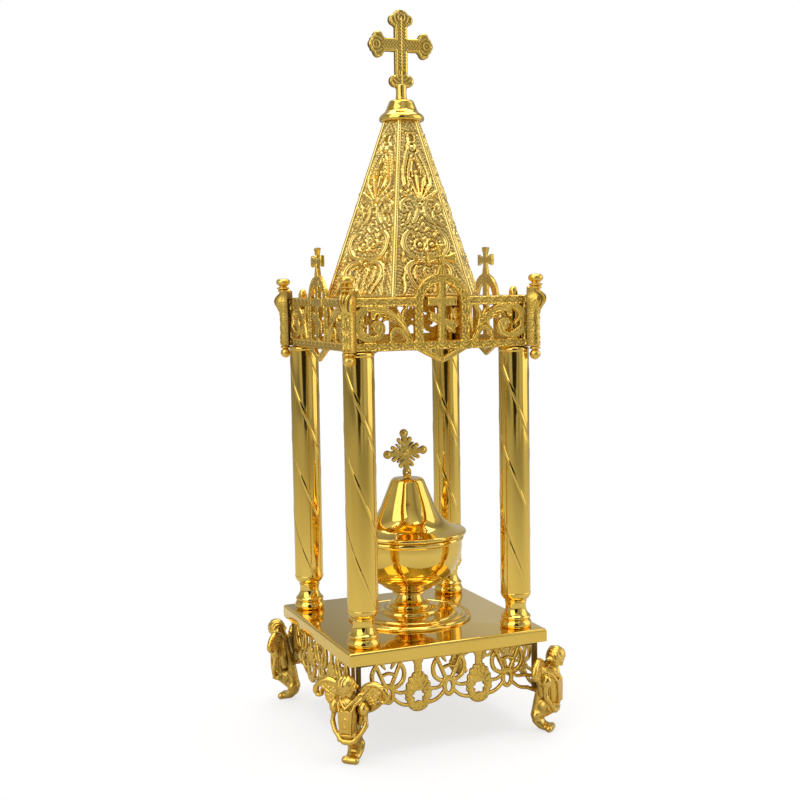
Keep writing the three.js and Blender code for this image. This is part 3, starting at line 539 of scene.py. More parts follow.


# Skirts: four pierced brass castings under the tray, with scallop shells between ribbon bows. The
# gilding is matt, the faces stand a little proud of the edges, and the ends are painted darker.


class Pattern:
    """A pierced casting drawn on a grid: how far each point lies inside it and how high it stands."""

    def __init__(self, left, right, low, high, step):
        across = np.arange(left, right + step / 2, step)
        up = np.arange(low, high + step / 2, step)
        self.x, self.z = np.meshgrid(across, up)
        self.fold = np.abs(self.x)
        self.step = step
        self.inside = np.full(self.x.shape, -9.0)
        self.height = np.zeros(self.x.shape)

    def nearest(self, x, start, end):
        """How far along a straight line each point's nearest place is, and the distance to it."""
        (ax, az), (bx, bz) = start, end
        dx, dz = bx - ax, bz - az
        share = np.clip(((x - ax) * dx + (self.z - az) * dz) / (dx * dx + dz * dz + 1e-9), 0, 1)
        return share, np.hypot(x - ax - share * dx, self.z - az - share * dz)

    def band(self, points, widths, whole=False):
        """Depth inside a band along a line of points, and its half width there."""
        x = self.x if whole else self.fold
        path = points if len(points) < 3 else smooth_run(points, 4)
        shares = np.linspace(0, 1, len(path))
        half = np.interp(shares, np.linspace(0, 1, len(widths)), widths) / 2
        inside = np.full(x.shape, -9.0)
        span = np.ones(x.shape)
        for start, end, half_start, half_end in zip(path, path[1:], half, half[1:]):
            share, distance = self.nearest(x, start, end)
            width = half_start + (half_end - half_start) * share
            depth = width - distance
            better = depth > inside
            inside = np.where(better, depth, inside)
            span = np.where(better, width, span)
        return inside, span

    def outline(self, points, whole=False):
        """Depth inside a closed outline."""
        x = self.x if whole else self.fold
        distance = np.full(x.shape, 99.0)
        within = np.zeros(x.shape, bool)
        for start, end in zip(points, [*points[1:], points[0]]):
            distance = np.minimum(distance, self.nearest(x, start, end)[1])
            (ax, az), (bx, bz) = start, end
            if az != bz:
                crossing = (bx - ax) * (self.z - az) / (bz - az) + ax
                within ^= ((az > self.z) != (bz > self.z)) & (x < crossing)
        return np.where(within, distance, -distance)

    def bar(self, left, low, right, high, whole=False):
        """Depth inside an upright rectangle."""
        return self.outline([(left, low), (right, low), (right, high), (left, high)], whole)

    def add(self, inside, rise, span=1.0, sharp=3.0):
        """Joins a form on. It rises from its edge over the given span, sharply or roundly."""
        share = np.clip(inside / np.maximum(span, 0.2), 0, 1)
        self.inside = np.maximum(self.inside, inside)
        self.height = np.maximum(self.height, rise * (1 - (1 - share) ** sharp))

    def stroke(self, points, widths, rise, sharp=3.0, whole=False, rim=0.0):
        """A band that rises to its middle, or to a raised line along its edges."""
        inside, span = self.band(points, widths, whole)
        self.add(inside, rise, span, sharp)
        if rim:
            bead = rise + rim * np.exp(-((inside - 0.75) / 0.42) ** 2)
            self.height = np.where(inside > 0.2, np.maximum(self.height, bead), self.height)

    def disc(self, x, z, radius, rise, sharp=3.0, tall=1.0):
        """A round button, or an oval one that is tall times as high as wide."""
        inside = radius - np.hypot(self.fold - x, (self.z - z) / tall)
        self.add(inside, rise, radius * 0.8, sharp)

    def cut(self, inside):
        """Pierces the casting."""
        self.inside = np.minimum(self.inside, -inside)

    def score(self, points, width, depth, whole=False):
        """An engraved line, or with a negative depth a raised one."""
        inside, span = self.band(points, [width], whole)
        self.height = self.height - depth * np.exp(-((span - inside) / (width / 2)) ** 2)

    def quads(self, number, rows, cols, size):
        """Faces of size by size cells, from the numbers of the points at their corners."""
        return np.stack([number[rows, cols], number[rows, cols + size],
                         number[rows + size, cols + size], number[rows + size, cols]], 1)

    def form(self, base, two_sided=False, backed=True):
        """Points, faces and hollows of the casting, back at 0 and its edge at base."""
        inside, step = self.inside, self.step
        middle = (inside[:-1, :-1] + inside[1:, :-1] + inside[:-1, 1:] + inside[1:, 1:]) / 4
        kept = np.pad(middle > 0, 1)
        count = (kept[:-1, :-1].astype(int) + kept[1:, :-1] + kept[:-1, 1:] + kept[1:, 1:])
        used = count > 0
        edge = used & (count < 4)
        dz, dx = np.gradient(inside, step)
        steep = np.maximum(dx * dx + dz * dz, 0.3)
        shift_x = np.clip(np.where(edge, inside * dx / steep, 0), -0.7 * step, 0.7 * step)
        shift_z = np.clip(np.where(edge, inside * dz / steep, 0), -0.7 * step, 0.7 * step)
        height = np.where(edge, 0, np.maximum(self.height, -0.4 * base))
        number = np.full(used.shape, -1)
        number[used] = np.arange(used.sum())
        total = int(used.sum())
        x, z, h = (self.x - shift_x)[used], (self.z - shift_z)[used], height[used]
        front = np.stack([x, base + h, z], 1)
        top = max(float(self.height.max()), 1e-6)
        if not backed:
            rows, cols = np.nonzero(kept[1:-1, 1:-1])
            return front, self.quads(number, rows, cols, 1).tolist(), np.clip(1 - h / top, 0, 1)
        back = np.stack([x, -base - h if two_sided else 0 * h, z], 1)
        cells = kept[1:-1, 1:-1].copy()
        rows, cols = np.nonzero(cells)
        faces = [self.quads(number, rows, cols, 1)]
        plain = used & ~edge
        for size in (1,) if two_sided else (8, 4, 2, 1):
            high, wide = cells.shape[0] // size, cells.shape[1] // size
            whole = np.ones((high, wide), bool)
            for i in range(size + 1):
                for j in range(size + 1):
                    flat = plain[i:i + size * high:size, j:j + size * wide:size]
                    whole &= flat if size > 1 else True
                    if i < size and j < size:
                        whole &= cells[i:i + size * high:size, j:j + size * wide:size]
            rows, cols = np.nonzero(whole)
            faces.append(self.quads(number, rows * size, cols * size, size)[:, ::-1] + total)
            for i in range(size):
                for j in range(size):
                    cells[rows * size + i, cols * size + j] = False
        for shift, (r0, c0, r1, c1) in (
            ((0, 1), (0, 0, 1, 0)), ((1, 0), (0, 1, 0, 0)),
        ):
            before = kept[1 - shift[0]:kept.shape[0] - 1, 1 - shift[1]:kept.shape[1] - 1]
            after = kept[1:kept.shape[0] - 1 + shift[0], 1:kept.shape[1] - 1 + shift[1]]
            for here, there, flip in ((before, after, False), (after, before, True)):
                rows, cols = np.nonzero(here & ~there)
                p, q = number[rows + r0, cols + c0], number[rows + r1, cols + c1]
                if flip:
                    p, q = q, p
                faces.append(np.stack([p, p + total, q + total, q], 1))
        # How deep each point lies below the top of the relief, a flat back counting as top. The gilding
        # paints shade and dark wax by it.
        back_h = h if two_sided else np.full(total, top)
        hollow = np.clip(1 - np.concatenate([h, back_h]) / top, 0, 1)
        return np.concatenate([front, back]), np.concatenate(faces).tolist(), hollow


def turned_out(verts, outward, turn):
    """Moves a form that faces -Y outward by a distance and turns it round the part's middle."""
    x, y, z = verts[:, 0], verts[:, 1] - outward, verts[:, 2]
    return np.stack([
        x * math.cos(turn) - y * math.sin(turn), x * math.sin(turn) + y * math.cos(turn), z], 1)


def four_castings(name, places, form, outward, first_turn, material, crease):
    """Casts one form four times and stands a copy on each side or at each corner."""
    verts, faces, hollow = form
    for index, place in enumerate(places):
        node = name + place
        stood = turned_out(verts, outward, first_turn + index * math.pi / 2)
        piece(node, stood, faces, material, "cast_gilding", [node], crease, hollow)


side_names = ["front", "right", "back", "left"]
cast_gold = gilding(
    "cast_gold", (0.84, 0.58, 0.125), (0.78, 0.50, 0.085), roughness=0.26, patch_scale=60.0, bump=0.55,
    grain=1300.0, wax=0.85, pebble=620.0)

_, skirt_high = millimetres("skirt_front")
skirt_half, skirt_top = skirt_high[0], skirt_high[2]
skirt_back, skirt_thickness = -skirt_high[1], 2.4
cast_relief = 1.1
shell_at, bow_at, hinge_depth = 23.2, 45.4, 25.4
skirt = Pattern(-skirt_half - 0.6, skirt_half + 0.6, skirt_top - 40, skirt_top + 0.6, 0.5)


def below(pairs, middle=0.0, side=1):
    """Places given as distance from the middle of a shell or bow, and depth under the tray."""
    return [(middle + side * x, skirt_top - depth) for x, depth in pairs]


bow_strokes = [
    ([(3.0, 19.4), (6.8, 18.9), (10.7, 15.6), (11.9, 10.2), (10.6, 5.6), (8.8, 3.4)],
     [2.6, 2.9, 3.0, 3.0, 2.8, 2.6], 1.0),
    ([(9.2, 2.0), (6.2, 9.2), (2.4, 18.0)], [2.8, 2.6, 2.8], 1.0),
    ([(4.4, 21.4), (8.0, 23.8), (13.8, 23.9)], [2.4, 2.2, 2.4], 0.9),
    ([(4.2, 27.6), (7.4, 30.6), (11.4, 32.6), (16.6, 33.4)], [2.6, 2.4, 2.4, 2.6], 1.0),
    ([(4.4, 2.2), (3.4, 4.2), (2.2, 6.0)], [3.0, 2.2, 1.0], 0.7),
]
knot = [(3.3 * math.sin(t), 24.2 - 5.4 * math.cos(t)) for t in np.linspace(0, 2 * math.pi, 13)]
middle_strokes = [
    ([(-4.2, 10.4), (0, 9.2), (4.2, 10.4)], [2.2], 0.9),
    ([(-3.2, 18.3), (0, 17.9), (3.2, 18.3)], [2.6], 1.1),
    (knot, [3.0], 1.0),
]
end_strokes = [
    ([(skirt_half - 9, 24.0), (skirt_half - 2, 25.5)], [2.2, 2.4], 0.9),
    ([(skirt_half - 8, 33.2), (skirt_half - 1, 36.0)], [2.4, 3.0], 0.9),
]
skirt.add(skirt.bar(-1, skirt_top - 2.5, skirt_half, skirt_top), 0.35, 0.6)
skirt.add(skirt.outline(below(
    [(skirt_half - 3.4, 1), (skirt_half, 1), (skirt_half, 36), (skirt_half - 3.4, 34)])), 0.5, 1.0)
for middle in (0.0, bow_at):
    for side in (-1, 1):
        for points, widths, rise in bow_strokes:
            skirt.stroke(below(points, middle, side), widths, rise)
    for points, widths, rise in middle_strokes:
        skirt.stroke(below(points, middle), widths, rise)
for points, widths, rise in end_strokes:
    skirt.stroke(below(points), widths, rise)

fan_wide, fan_tall, fan_angle, flutes = 10.0, 15.4, 1.72, 8.2
from_shell_x = (skirt.fold - shell_at) / fan_wide
from_hinge_z = (skirt.z - (skirt_top - hinge_depth)) / fan_tall
ray = np.arctan2(from_shell_x, from_hinge_z)
reach = np.hypot(from_shell_x, from_hinge_z)
flute = 1 - np.abs(np.cos(ray * flutes))
fan = np.where(np.abs(ray) < fan_angle, (1 - 0.10 * flute - reach) * 10.4, -9)
skirt.add(fan, 1.1, 1.4)
fluted = skirt.height - 0.7 * flute ** 1.3 * np.clip(reach * 2.2, 0, 1)
skirt.height = np.where(fan > 0.2, fluted, skirt.height)
for side in (-1, 1):
    skirt.stroke(below([(7.6, 23.6), (6.6, 28.0), (5.6, 32.6)], shell_at, side), [4.2, 4.6, 4.6], 0.9)
    skirt.disc(shell_at + side * 7.8, skirt_top - 28.4, 2.1, 1.0)
skirt.disc(shell_at, skirt_top - 33.2, 7.4, 0.8, tall=0.72)
for lobe in np.linspace(-1.25, 1.25, 5):
    skirt.disc(shell_at + 5.6 * math.sin(lobe), skirt_top - 33.0 - 3.6 * math.cos(lobe), 1.9, 1.1)
skirt.stroke(below([(0, 0.5), (0, 4.6), (0, 11.5)], shell_at), [9.4, 5.4, 5.4], 0.8)
window = [(-3.0, 24.8), (-1.8, 24.0), (1.8, 24.0), (3.0, 24.8), (3.0, 32.0), (0, 31.0), (-3.0, 32.0)]
skirt.cut(skirt.outline(below(window, shell_at)))
skirt.cut(skirt.fold - skirt_half)
skirt.cut(skirt.z - skirt_top)
verts, faces, hollow = skirt.form(skirt_thickness - cast_relief)
# Each skirt is painted darker towards its two ends, over the painted shade and dark wax of its hollows.
darker_end = np.clip((np.abs(verts[:, 0]) - 52) / 14, 0, 1) * 0.55
skirt_form = verts * [1, -1, 1], faces, np.clip(hollow * 0.8 + darker_end, 0, 1)
four_castings("skirt_", side_names, skirt_form, skirt_back, 0, cast_gold, 50)


# Gallery: four pierced castings round the roof. Each has two rails with nested arcs, a middle
# arch round a three-barred cross, acanthus scrolls, a flared crosslet above and a pendant below.

gallery_low, gallery_high = millimetres("gallery_front")
gallery_half = gallery_high[0]
gallery_back, gallery_thickness = -gallery_high[1], 3.0
rail_bottom, rail_height, rail_gap = 275.8, 6.3, 23.4
rail_top = rail_bottom + rail_height
upper_rail = rail_top + rail_gap
gallery_top = upper_rail + rail_height
arch_outer, arch_inner = 20.75, 14.0
arch_spring = gallery_top - 4.9
face_rise = 0.6
gallery = Pattern(
    -gallery_half - 0.45, gallery_half + 0.45, gallery_low[2] - 1, gallery_high[2] + 1, 0.465)


def nested_arcs(along, up, pitch):
    """Arcs one inside another, repeated along a rail at the given pitch."""
    spacing = 2.15
    radius = np.hypot((along + pitch / 2) % pitch - pitch / 2, up)
    return 0.5 + 0.5 * np.cos(2 * math.pi * radius / spacing)


def beyond(pairs):
    """Places given as distance outwards from the arch and height above the lower rail."""
    return [(arch_outer + x, rail_top + z) for x, z in pairs]


rails = []
for low in (rail_bottom, upper_rail):
    rails.append(gallery.bar(-1, low, gallery_half, low + rail_height))
    gallery.add(rails[-1], face_rise, 0.6, 4)
gallery.add(gallery.bar(gallery_half - 2.4, rail_bottom, gallery_half, gallery_top), face_rise, 0.6, 4)

from_spring = gallery.z - arch_spring
arc_radius = np.hypot(gallery.fold, np.maximum(from_spring, 0))
arch = np.minimum(arch_outer - arc_radius, arc_radius - arch_inner)
arch = np.where(gallery.z < rail_bottom, -9, arch)
opening = np.minimum(arch_inner - arc_radius, arch_inner - gallery.fold)
gallery.cut(np.minimum(opening, gallery.z - rail_top))
gallery.add(arch, face_rise, 0.6, 4)

leaf_bands = [
    ([(2.0, 0.4), (7.0, 9.6), (13.6, 17.2), (20.5, 21.4), (27.0, 22.4), (33.0, 22.2)],
     [2.6, 3.2, 3.6, 4.0, 4.2, 4.6]),
    ([(6.6, 8.8), (13.4, 15.6), (20.0, 19.4), (26.2, 20.4), (29.6, 19.2), (30.1, 16.6)],
     [1.6, 2.6, 3.4, 4.2, 4.8, 4.4]),
    ([(6.2, 7.8), (12.8, 13.9), (18.6, 17.2), (23.6, 17.9), (26.4, 16.2)], [1.4, 2.4, 3.0, 3.2, 2.4]),
    ([(5.4, 6.4), (11.4, 12.2), (16.4, 15.0), (20.2, 15.6), (22.2, 14.4)], [1.4, 2.4, 2.8, 2.6, 1.8]),
]
for points, widths in leaf_bands:
    gallery.stroke(beyond(points), widths, face_rise, 2.6, rim=0.5)
scrolls = [
    ([(32.0, 22.3), (37.2, 20.8), (40.8, 16.8), (41.6, 11.0), (40.0, 5.6), (36.2, 2.8), (31.2, 2.2),
      (26.4, 3.4), (23.4, 6.6), (22.9, 10.0), (25.0, 12.8), (28.4, 13.0), (30.9, 11.0)],
     [4.2, 5.6, 6.2, 6.0, 5.4, 4.8, 4.6, 4.4, 4.0, 3.8, 3.4, 3.0, 2.6], face_rise, 4),
    ([(38.6, 14.0), (35.6, 11.2), (34.2, 9.4)], [3.4, 2.2, 0.8], face_rise, 3),
    ([(38.8, 7.6), (35.0, 5.6), (31.4, 4.4)], [2.4, 2.0, 1.0], face_rise + 0.2, 3),
    ([(16.9, 0.4), (16.4, 5.0), (13.4, 8.3), (9.6, 7.8), (6.8, 4.6), (4.6, 0.4)],
     [3.0, 3.6, 3.8, 3.4, 3.0, 3.0], face_rise, 4),
    ([(9.6, 12.6), (10.8, 17.0), (12.0, 21.2)], [3.4, 3.2, 1.0], face_rise, 3),
    ([(4.8, 23.4), (7.4, 19.4), (8.2, 14.0), (6.6, 8.8), (3.6, 3.4)], [1.8, 3.0, 3.6, 3.4, 2.4],
     face_rise, 4),
]
for points, widths, rise, sharp in scrolls:
    gallery.stroke(beyond(points), widths, rise, sharp)
gallery.disc(arch_outer + 26.6, rail_top + 9.6, 3.9, face_rise, 4)
gallery.disc(arch_outer + 26.2, rail_top + 10.0, 1.3, face_rise + 0.5, 2)

pendant = [(0, 266.6), (arch_outer * 0.55, 271.9), (arch_outer, rail_bottom + 1), (-1, rail_bottom + 1)]
gallery.add(gallery.outline(pendant), face_rise, 0.6, 4)
eye = [(-1, 275.7), (9.3, 275.7), (5.0, 273.2), (0, 270.6), (-1, 270.6)]
gallery.cut(gallery.outline(eye))

stem_half, stem_top, bar_reach, slant_reach = 3.1, 325.0, 11.2, 9.8
bars = [
    gallery.bar(-stem_half, rail_top - 1, stem_half, stem_top, True),
    gallery.bar(-bar_reach, upper_rail, bar_reach, gallery_top, True),
    gallery.outline([(-slant_reach, 296.8), (slant_reach, 286.4), (slant_reach, 294.2),
                     (-slant_reach, 302.6)], True),
]
cross = np.maximum.reduce(bars)
gallery.add(cross, face_rise, 0.6, 4)

crosslet_middle = 337.7
for dx, dz, reach_out in ((1, 0, 11.0), (-1, 0, 11.0), (0, 1, 9.3), (0, -1, 11.6)):
    arm = [
        (dx * reach_out - dz * 4.2, crosslet_middle + dz * reach_out + dx * 4.2),
        (dx * (reach_out + 0.3), crosslet_middle + dz * (reach_out + 0.3)),
        (dx * reach_out + dz * 4.2, crosslet_middle + dz * reach_out - dx * 4.2),
        (dx * 4.4 + dz * 1.9, crosslet_middle + dz * 4.4 - dx * 1.9),
        (dz * 1.7, crosslet_middle - dx * 1.7),
        (-dz * 1.7, crosslet_middle + dx * 1.7),
        (dx * 4.4 - dz * 1.9, crosslet_middle + dz * 4.4 + dx * 1.9),
    ]
    gallery.add(gallery.outline(arm, True), face_rise, 0.7, 3)
    for spread in (-2.3, 0, 2.3):
        tip = (dx * (reach_out - 1) - dz * spread, crosslet_middle + dz * (reach_out - 1) + dx * spread)
        gallery.score([(dx * 2.4, crosslet_middle + dz * 2.4), tip], 0.8, 0.4, True)

arc_pitch, leg_pitch, arch_middle, carve = 8.6, 7.8, 17.4, 0.75
hump = nested_arcs(gallery.x, gallery.z - upper_rail - 0.4, arc_pitch)
swag = nested_arcs(gallery.x, rail_top - 0.4 - gallery.z, arc_pitch)
leg = nested_arcs(gallery.z, gallery.fold - arch_inner - 0.3, leg_pitch)
round_arch = np.arctan2(gallery.fold, np.maximum(from_spring, 1e-3)) * arch_middle
crown = nested_arcs(round_arch, arc_radius - arch_inner - 0.3, leg_pitch)
on_arch = (arch > 0.6) & ~(bars[0] > 0)
for where, arcs in (
    ((rails[1] > 0.7) & ~on_arch & (bars[1] < 0), hump),
    ((rails[0] > 0.7) & (bars[0] < 0.2), swag),
    (on_arch & (gallery.z > rail_top), np.where(from_spring > 0, crown, leg)),
):
    gallery.height -= carve * np.where(where, arcs, 0)
for low, above in ((rail_bottom, 1.5), (upper_rail, 4.9)):
    for along in np.arange(arc_pitch / 2, gallery_half - 2, arc_pitch):
        if along > arch_outer or low == rail_bottom:
            gallery.disc(along, low + above, 0.8, face_rise + 0.35, 2)
grain_rows = np.sin(gallery.x * 3.9 + 1.3 * np.sin(gallery.z * 2.1)) * np.sin(gallery.z * 4.3 + gallery.x)
gallery.height -= 0.12 * np.where(cross > 0.7, grain_rows, 0)
gallery.height += 0.45 * np.exp(-((gallery.inside - 0.75) / 0.4) ** 2)
verts, faces, hollow = gallery.form(gallery_thickness - cast_relief)
gallery_form = verts * [1, -1, 1], faces, hollow * 0.7
four_castings("gallery_", side_names, gallery_form, gallery_back, 0, cast_gold, 50)


# Corner posts: four cast consoles across the corners of the gallery. Each has a leaf carved on its
# swelling, a knob on two rings above and a ball on a ring below, and it is matt like the gallery.


def joined(*forms):
    """Several forms as one mesh."""
    verts, faces, hollows = [], [], []
    for form in forms:
        count = sum(len(v) for v in verts)
        verts.append(np.asarray(form[0], float))
        faces += [tuple(i + count for i in face) for face in form[1]]
        hollows.append(np.asarray(form[2]) if len(form) > 2 else np.zeros(len(form[0])))
    return np.concatenate(verts), faces, np.concatenate(hollows)


gallery_reach, touch = 67.8, 0.3
post_seat = (2 * gallery_reach - gallery_thickness - touch) / math.sqrt(2) + touch
post_height, post_half = 41.0, 4.4
carved_to = 27
console = [
    (0.0, 6.4), (1.2, 7.4), (4.0, 7.6), (12.0, 7.4), (20.0, 7.4), (24.0, 7.9), (27.4, 9.4), (30.4, 11.2),
    (32.8, 12.0), (35.2, 11.6), (37.4, 10.0), (39.4, 7.8), (41.0, 6.6)]


def console_form():
    """The console alone, with a leaf on its swelling, a stem down its middle and pits beside it."""
    rows = smooth_run(console, 4)
    around = 23
    verts, hollow = [], []
    for z, out in rows:
        share = z / post_height
        half = post_half * (0.92 + 0.16 * math.exp(-((z - 33) / 5) ** 2))
        for k in range(around):
            u = -1 + 2 * k / (around - 1)
            bow = (1 - abs(u) ** 3.2) ** 0.5
            swell = math.exp(-((z - 32) / 7.5) ** 2)
            leaf = math.cos(11 * abs(u) - 2.6 * math.sin(share * 7)) * swell
            stem = math.exp(-(u / 0.17) ** 2) * (0.4 + 0.5 * swell)
            side = math.exp(-((abs(u) - 0.66) / 0.15) ** 2) * 0.6 * (z < carved_to)
            pits = 0.34 * math.sin(z * 2.1 + 4 * abs(u)) * (abs(u) < 0.75) * (z < carved_to)
            relief = 0.75 * leaf + stem + side + pits
            verts.append((u * half, -(1.2 + (out - 1.2) * (0.55 + 0.45 * bow) + relief * bow), z))
            # Low relief is marked for painted shade and dark wax, and the flat back against the gallery for
            # painted shade.
            hollow.append(min(1, max(0, 0.55 - relief)))
        verts += [(half, 0, z), (-half, 0, z)]
        hollow += [0.9, 0.9]
    faces = rings_to_faces(len(rows), around + 2, True, True)
    return verts, [tuple(reversed(f)) for f in faces], hollow


knob_profile = [
    [(0, -1.0), (3.4, -1.0)],
    [(3.4, -1.0), (4.0, -0.2), (4.1, 0.6), (3.3, 1.2)],
    [(3.3, 1.2), (4.6, 1.7), (4.8, 2.4), (4.0, 2.9)],
    [(4.0, 2.9), (3.0, 3.2), (2.8, 3.7), (3.4, 4.2), (4.7, 5.2), (5.2, 6.4), (5.1, 7.7), (4.3, 8.8),
     (2.8, 9.4), (0, 9.6)],
]
ball_profile = [
    [(0, -9.4), (1.0, -9.2), (2.8, -8.0), (3.8, -6.2), (3.7, -4.4), (2.7, -3.0), (2.0, -2.3)],
    [(2.0, -2.3), (3.4, -1.9), (3.9, -1.2), (3.4, -0.5), (2.6, 0.0)],
    [(2.6, 0.0), (3.6, 0.4), (3.7, 1.2), (0, 1.2)],
]
pin_profile = [[(0, -1.0), (1.7, -0.6), (2.3, 0.6), (1.7, 1.8), (0, 2.2)]]
verts, faces, hollow = joined(
    console_form(),
    turned_mesh(knob_profile, (0, -5.4), post_height, 32),
    turned_mesh(ball_profile, (0, -4.6), 0, 32),
    turned_mesh(pin_profile, (0, -1.2), post_height - 1.0, 24),
)
post_form = verts + [0, 0, rail_bottom], faces, hollow
four_castings("corner_post_", corner_names, post_form, post_seat, math.pi / 4, cast_gold, 50)


# Roof: a flat square deck of polished brass sheet that lies inside the top of the gallery, and a
# bell-shaped cap, spun from brass, that closes the top of the spire.

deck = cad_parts["roof_deck"]
for slot in deck.material_slots:
    slot.material = polished

_, cap_base, _ = centre_of("spire_cap")
cap_profile = [
    [(0, 0), (15.0, 0)],
    [(15.0, 0), (15.9, 0.5), (16.3, 1.6), (16.1, 3.0), (15.2, 4.4), (13.8, 5.6)],
    [(13.8, 5.6), (12.3, 6.8), (11.3, 8.4), (10.4, 10.6), (9.4, 12.8)],
    [(9.4, 12.8), (8.8, 14.2), (7.6, 15.1), (6.0, 15.4), (0, 15.4)],
]
piece("spire_cap", *turned_mesh(cap_profile, (0, 0), cap_base), polished,
      "polished_gilding", ["spire_cap"], 35)


# Spire: brass sheet embossed over a die and folded to six sides, with a beaded rib on each fold.
# It is bright gilded. The ground is grained, and scrolls, a palmette and a heart stand out of it.

spire_base = deck_high[2]
spire_height, spire_wall = 125.0, 1.0
corner_base, corner_top = 59.5, 13.7
flat_base, flat_top = corner_base * math.cos(math.pi / 6), corner_top * math.cos(math.pi / 6)
run = math.hypot(flat_base - flat_top, spire_height)
sheet_step = 0.62
face = Pattern(-corner_base / 2 - 0.6, corner_base / 2 + 0.6, -0.6, run + 0.6, sheet_step)


def up(pairs):
    """Places given as distance from the middle of a face and share of its slope."""
    return [(x, share * run) for x, share in pairs]


half_at = corner_base / 2 + (corner_top - corner_base) / 2 * face.z / run
from_fold = (half_at - face.fold) * math.cos(math.atan((corner_base - corner_top) / 2 / run))
face.inside = np.minimum(np.minimum(from_fold, face.z), run - face.z)
emboss = 1.45
paired = [
    ([(2.6, 0.915), (2.3, 0.875), (3.4, 0.835), (6.2, 0.775), (8.9, 0.71), (10.0, 0.65), (9.0, 0.612),
      (7.0, 0.62)], [1.6, 1.6, 2.2, 2.9, 3.2, 3.0, 2.4, 1.8]),
    ([(0.8, 0.80), (3.0, 0.765), (5.6, 0.70), (6.4, 0.655), (5.4, 0.622)], [1.4, 2.2, 2.6, 2.4, 1.6]),
    ([(2.4, 0.515), (6.4, 0.545), (11.4, 0.538), (14.6, 0.508), (13.6, 0.478), (10.8, 0.480), (10.6, 0.503)],
     [2.0, 2.8, 3.0, 3.0, 2.8, 2.2, 1.6]),
    ([(5.2, 0.528), (2.8, 0.500), (3.0, 0.465), (5.2, 0.430), (8.0, 0.408)],
     [1.6, 2.8, 3.6, 3.4, 1.2]),
    ([(8.8, 0.47), (9.4, 0.44), (12.4, 0.41), (16.4, 0.392)], [1.6, 2.6, 2.6, 1.2]),
    ([(0.6, 0.211), (6.4, 0.212), (12.6, 0.230), (16.4, 0.276), (15.6, 0.326), (11.8, 0.357), (8.0, 0.350),
      (8.4, 0.328)], [2.0, 3.0, 3.8, 4.2, 4.0, 3.4, 2.4, 1.6]),
    ([(0.6, 0.360), (3.4, 0.378), (6.4, 0.366)], [1.4, 2.2, 1.4]),
    ([(3.0, 0.190), (8.0, 0.194), (13.4, 0.180), (16.6, 0.146), (15.6, 0.104), (12.6, 0.064), (9.6, 0.022)],
     [1.8, 3.0, 4.4, 5.0, 4.2, 3.2, 2.0]),
    ([(5.8, 0.166), (9.4, 0.162), (10.8, 0.134), (9.8, 0.098), (6.8, 0.066), (5.4, 0.026)],
     [1.4, 2.6, 3.2, 3.2, 2.6, 1.6]),
    ([(1.6, 0.026), (3.4, 0.058), (2.4, 0.098), (4.4, 0.136), (2.2, 0.158)], [1.6, 2.2, 2.2, 2.2, 1.4]),
]
single = [
    ([(-3.2, 0.922), (3.2, 0.922)], [1.7]),
    ([(0, 0.777), (2.2, 0.742), (3.4, 0.70), (3.2, 0.668)], [1.4]),
    ([(21.0, 0.022), (19.4, 0.062), (19.8, 0.104), (18.2, 0.14)], [2.0, 2.4, 2.2, 1.0]),
    ([(18.4, 0.19), (18.0, 0.24), (17.0, 0.20)], [1.6, 2.0, 1.0]),
    ([(5.0, 0.60), (8.0, 0.585), (11.4, 0.578)], [1.4, 2.0, 1.0]),
    ([(4.2, 0.575), (8.4, 0.562), (13.0, 0.556)], [1.2, 1.8, 0.8]),
]
motif = np.full(face.x.shape, -9.0)
shape = np.zeros(face.x.shape)


def raise_form(inside, rise):
    """Adds a form to the die where it stands above what is cut already."""
    motif[:] = np.maximum(motif, inside)
    shape[:] = np.maximum(shape, np.where(inside > 0, rise, 0))


for strokes, split in ((paired, 0.62), (single, 0.0)):
    for points, widths in strokes:
        inside, span = face.band(up(points), widths)
        share = np.clip(inside / span, 0, 1)
        valley = 1 - split * np.exp(-((1 - share) / 0.42) ** 2)
        raise_form(inside, emboss * (1 - (1 - share) ** 2.4) * valley)
palmette_root, palmette_reach = 0.532 * run, 18.0
for ray in range(-3, 4):
    turn = ray * 0.37
    root = (0.8 * math.sin(turn), palmette_root)
    tip = (palmette_reach * math.sin(turn) * 0.8,
           palmette_root + (palmette_reach - 0.9 * abs(ray)) * math.cos(turn))
    inside, span = face.band([root, tip], [1.1, 3.3], True)
    raise_form(inside, emboss * (1 - (1 - np.clip(inside / span, 0, 1)) ** 2.0))
buttons = [
    (0, 0.836, 2.6), (0, 0.697, 1.6), (0, 0.512, 2.0), (12.4, 0.506, 1.5), (4.6, 0.287, 2.0), (0, 0.256, 1.5),
    (0, 0.322, 1.6), (0, 0.400, 1.8), (0, 0.435, 1.4), (0, 0.468, 1.1), (10.8, 0.300, 1.2),
    (10.6, 0.262, 1.2), (0, 0.180, 1.6), (14.6, 0.42, 1.1)]
for x, share, radius in buttons:
    inside = radius - np.hypot(face.fold - x, face.z - share * run)
    raise_form(inside, emboss * (1 - (1 - np.clip(inside / radius, 0, 1)) ** 2.2))
for x, share, radius in ((0, 0.836, 4.4), (4.6, 0.287, 3.9)):
    inside = 0.9 - np.abs(np.hypot(face.fold - x, face.z - share * run) - radius)
    raise_form(inside, 0.8 * emboss * np.clip(inside / 0.8, 0, 1))

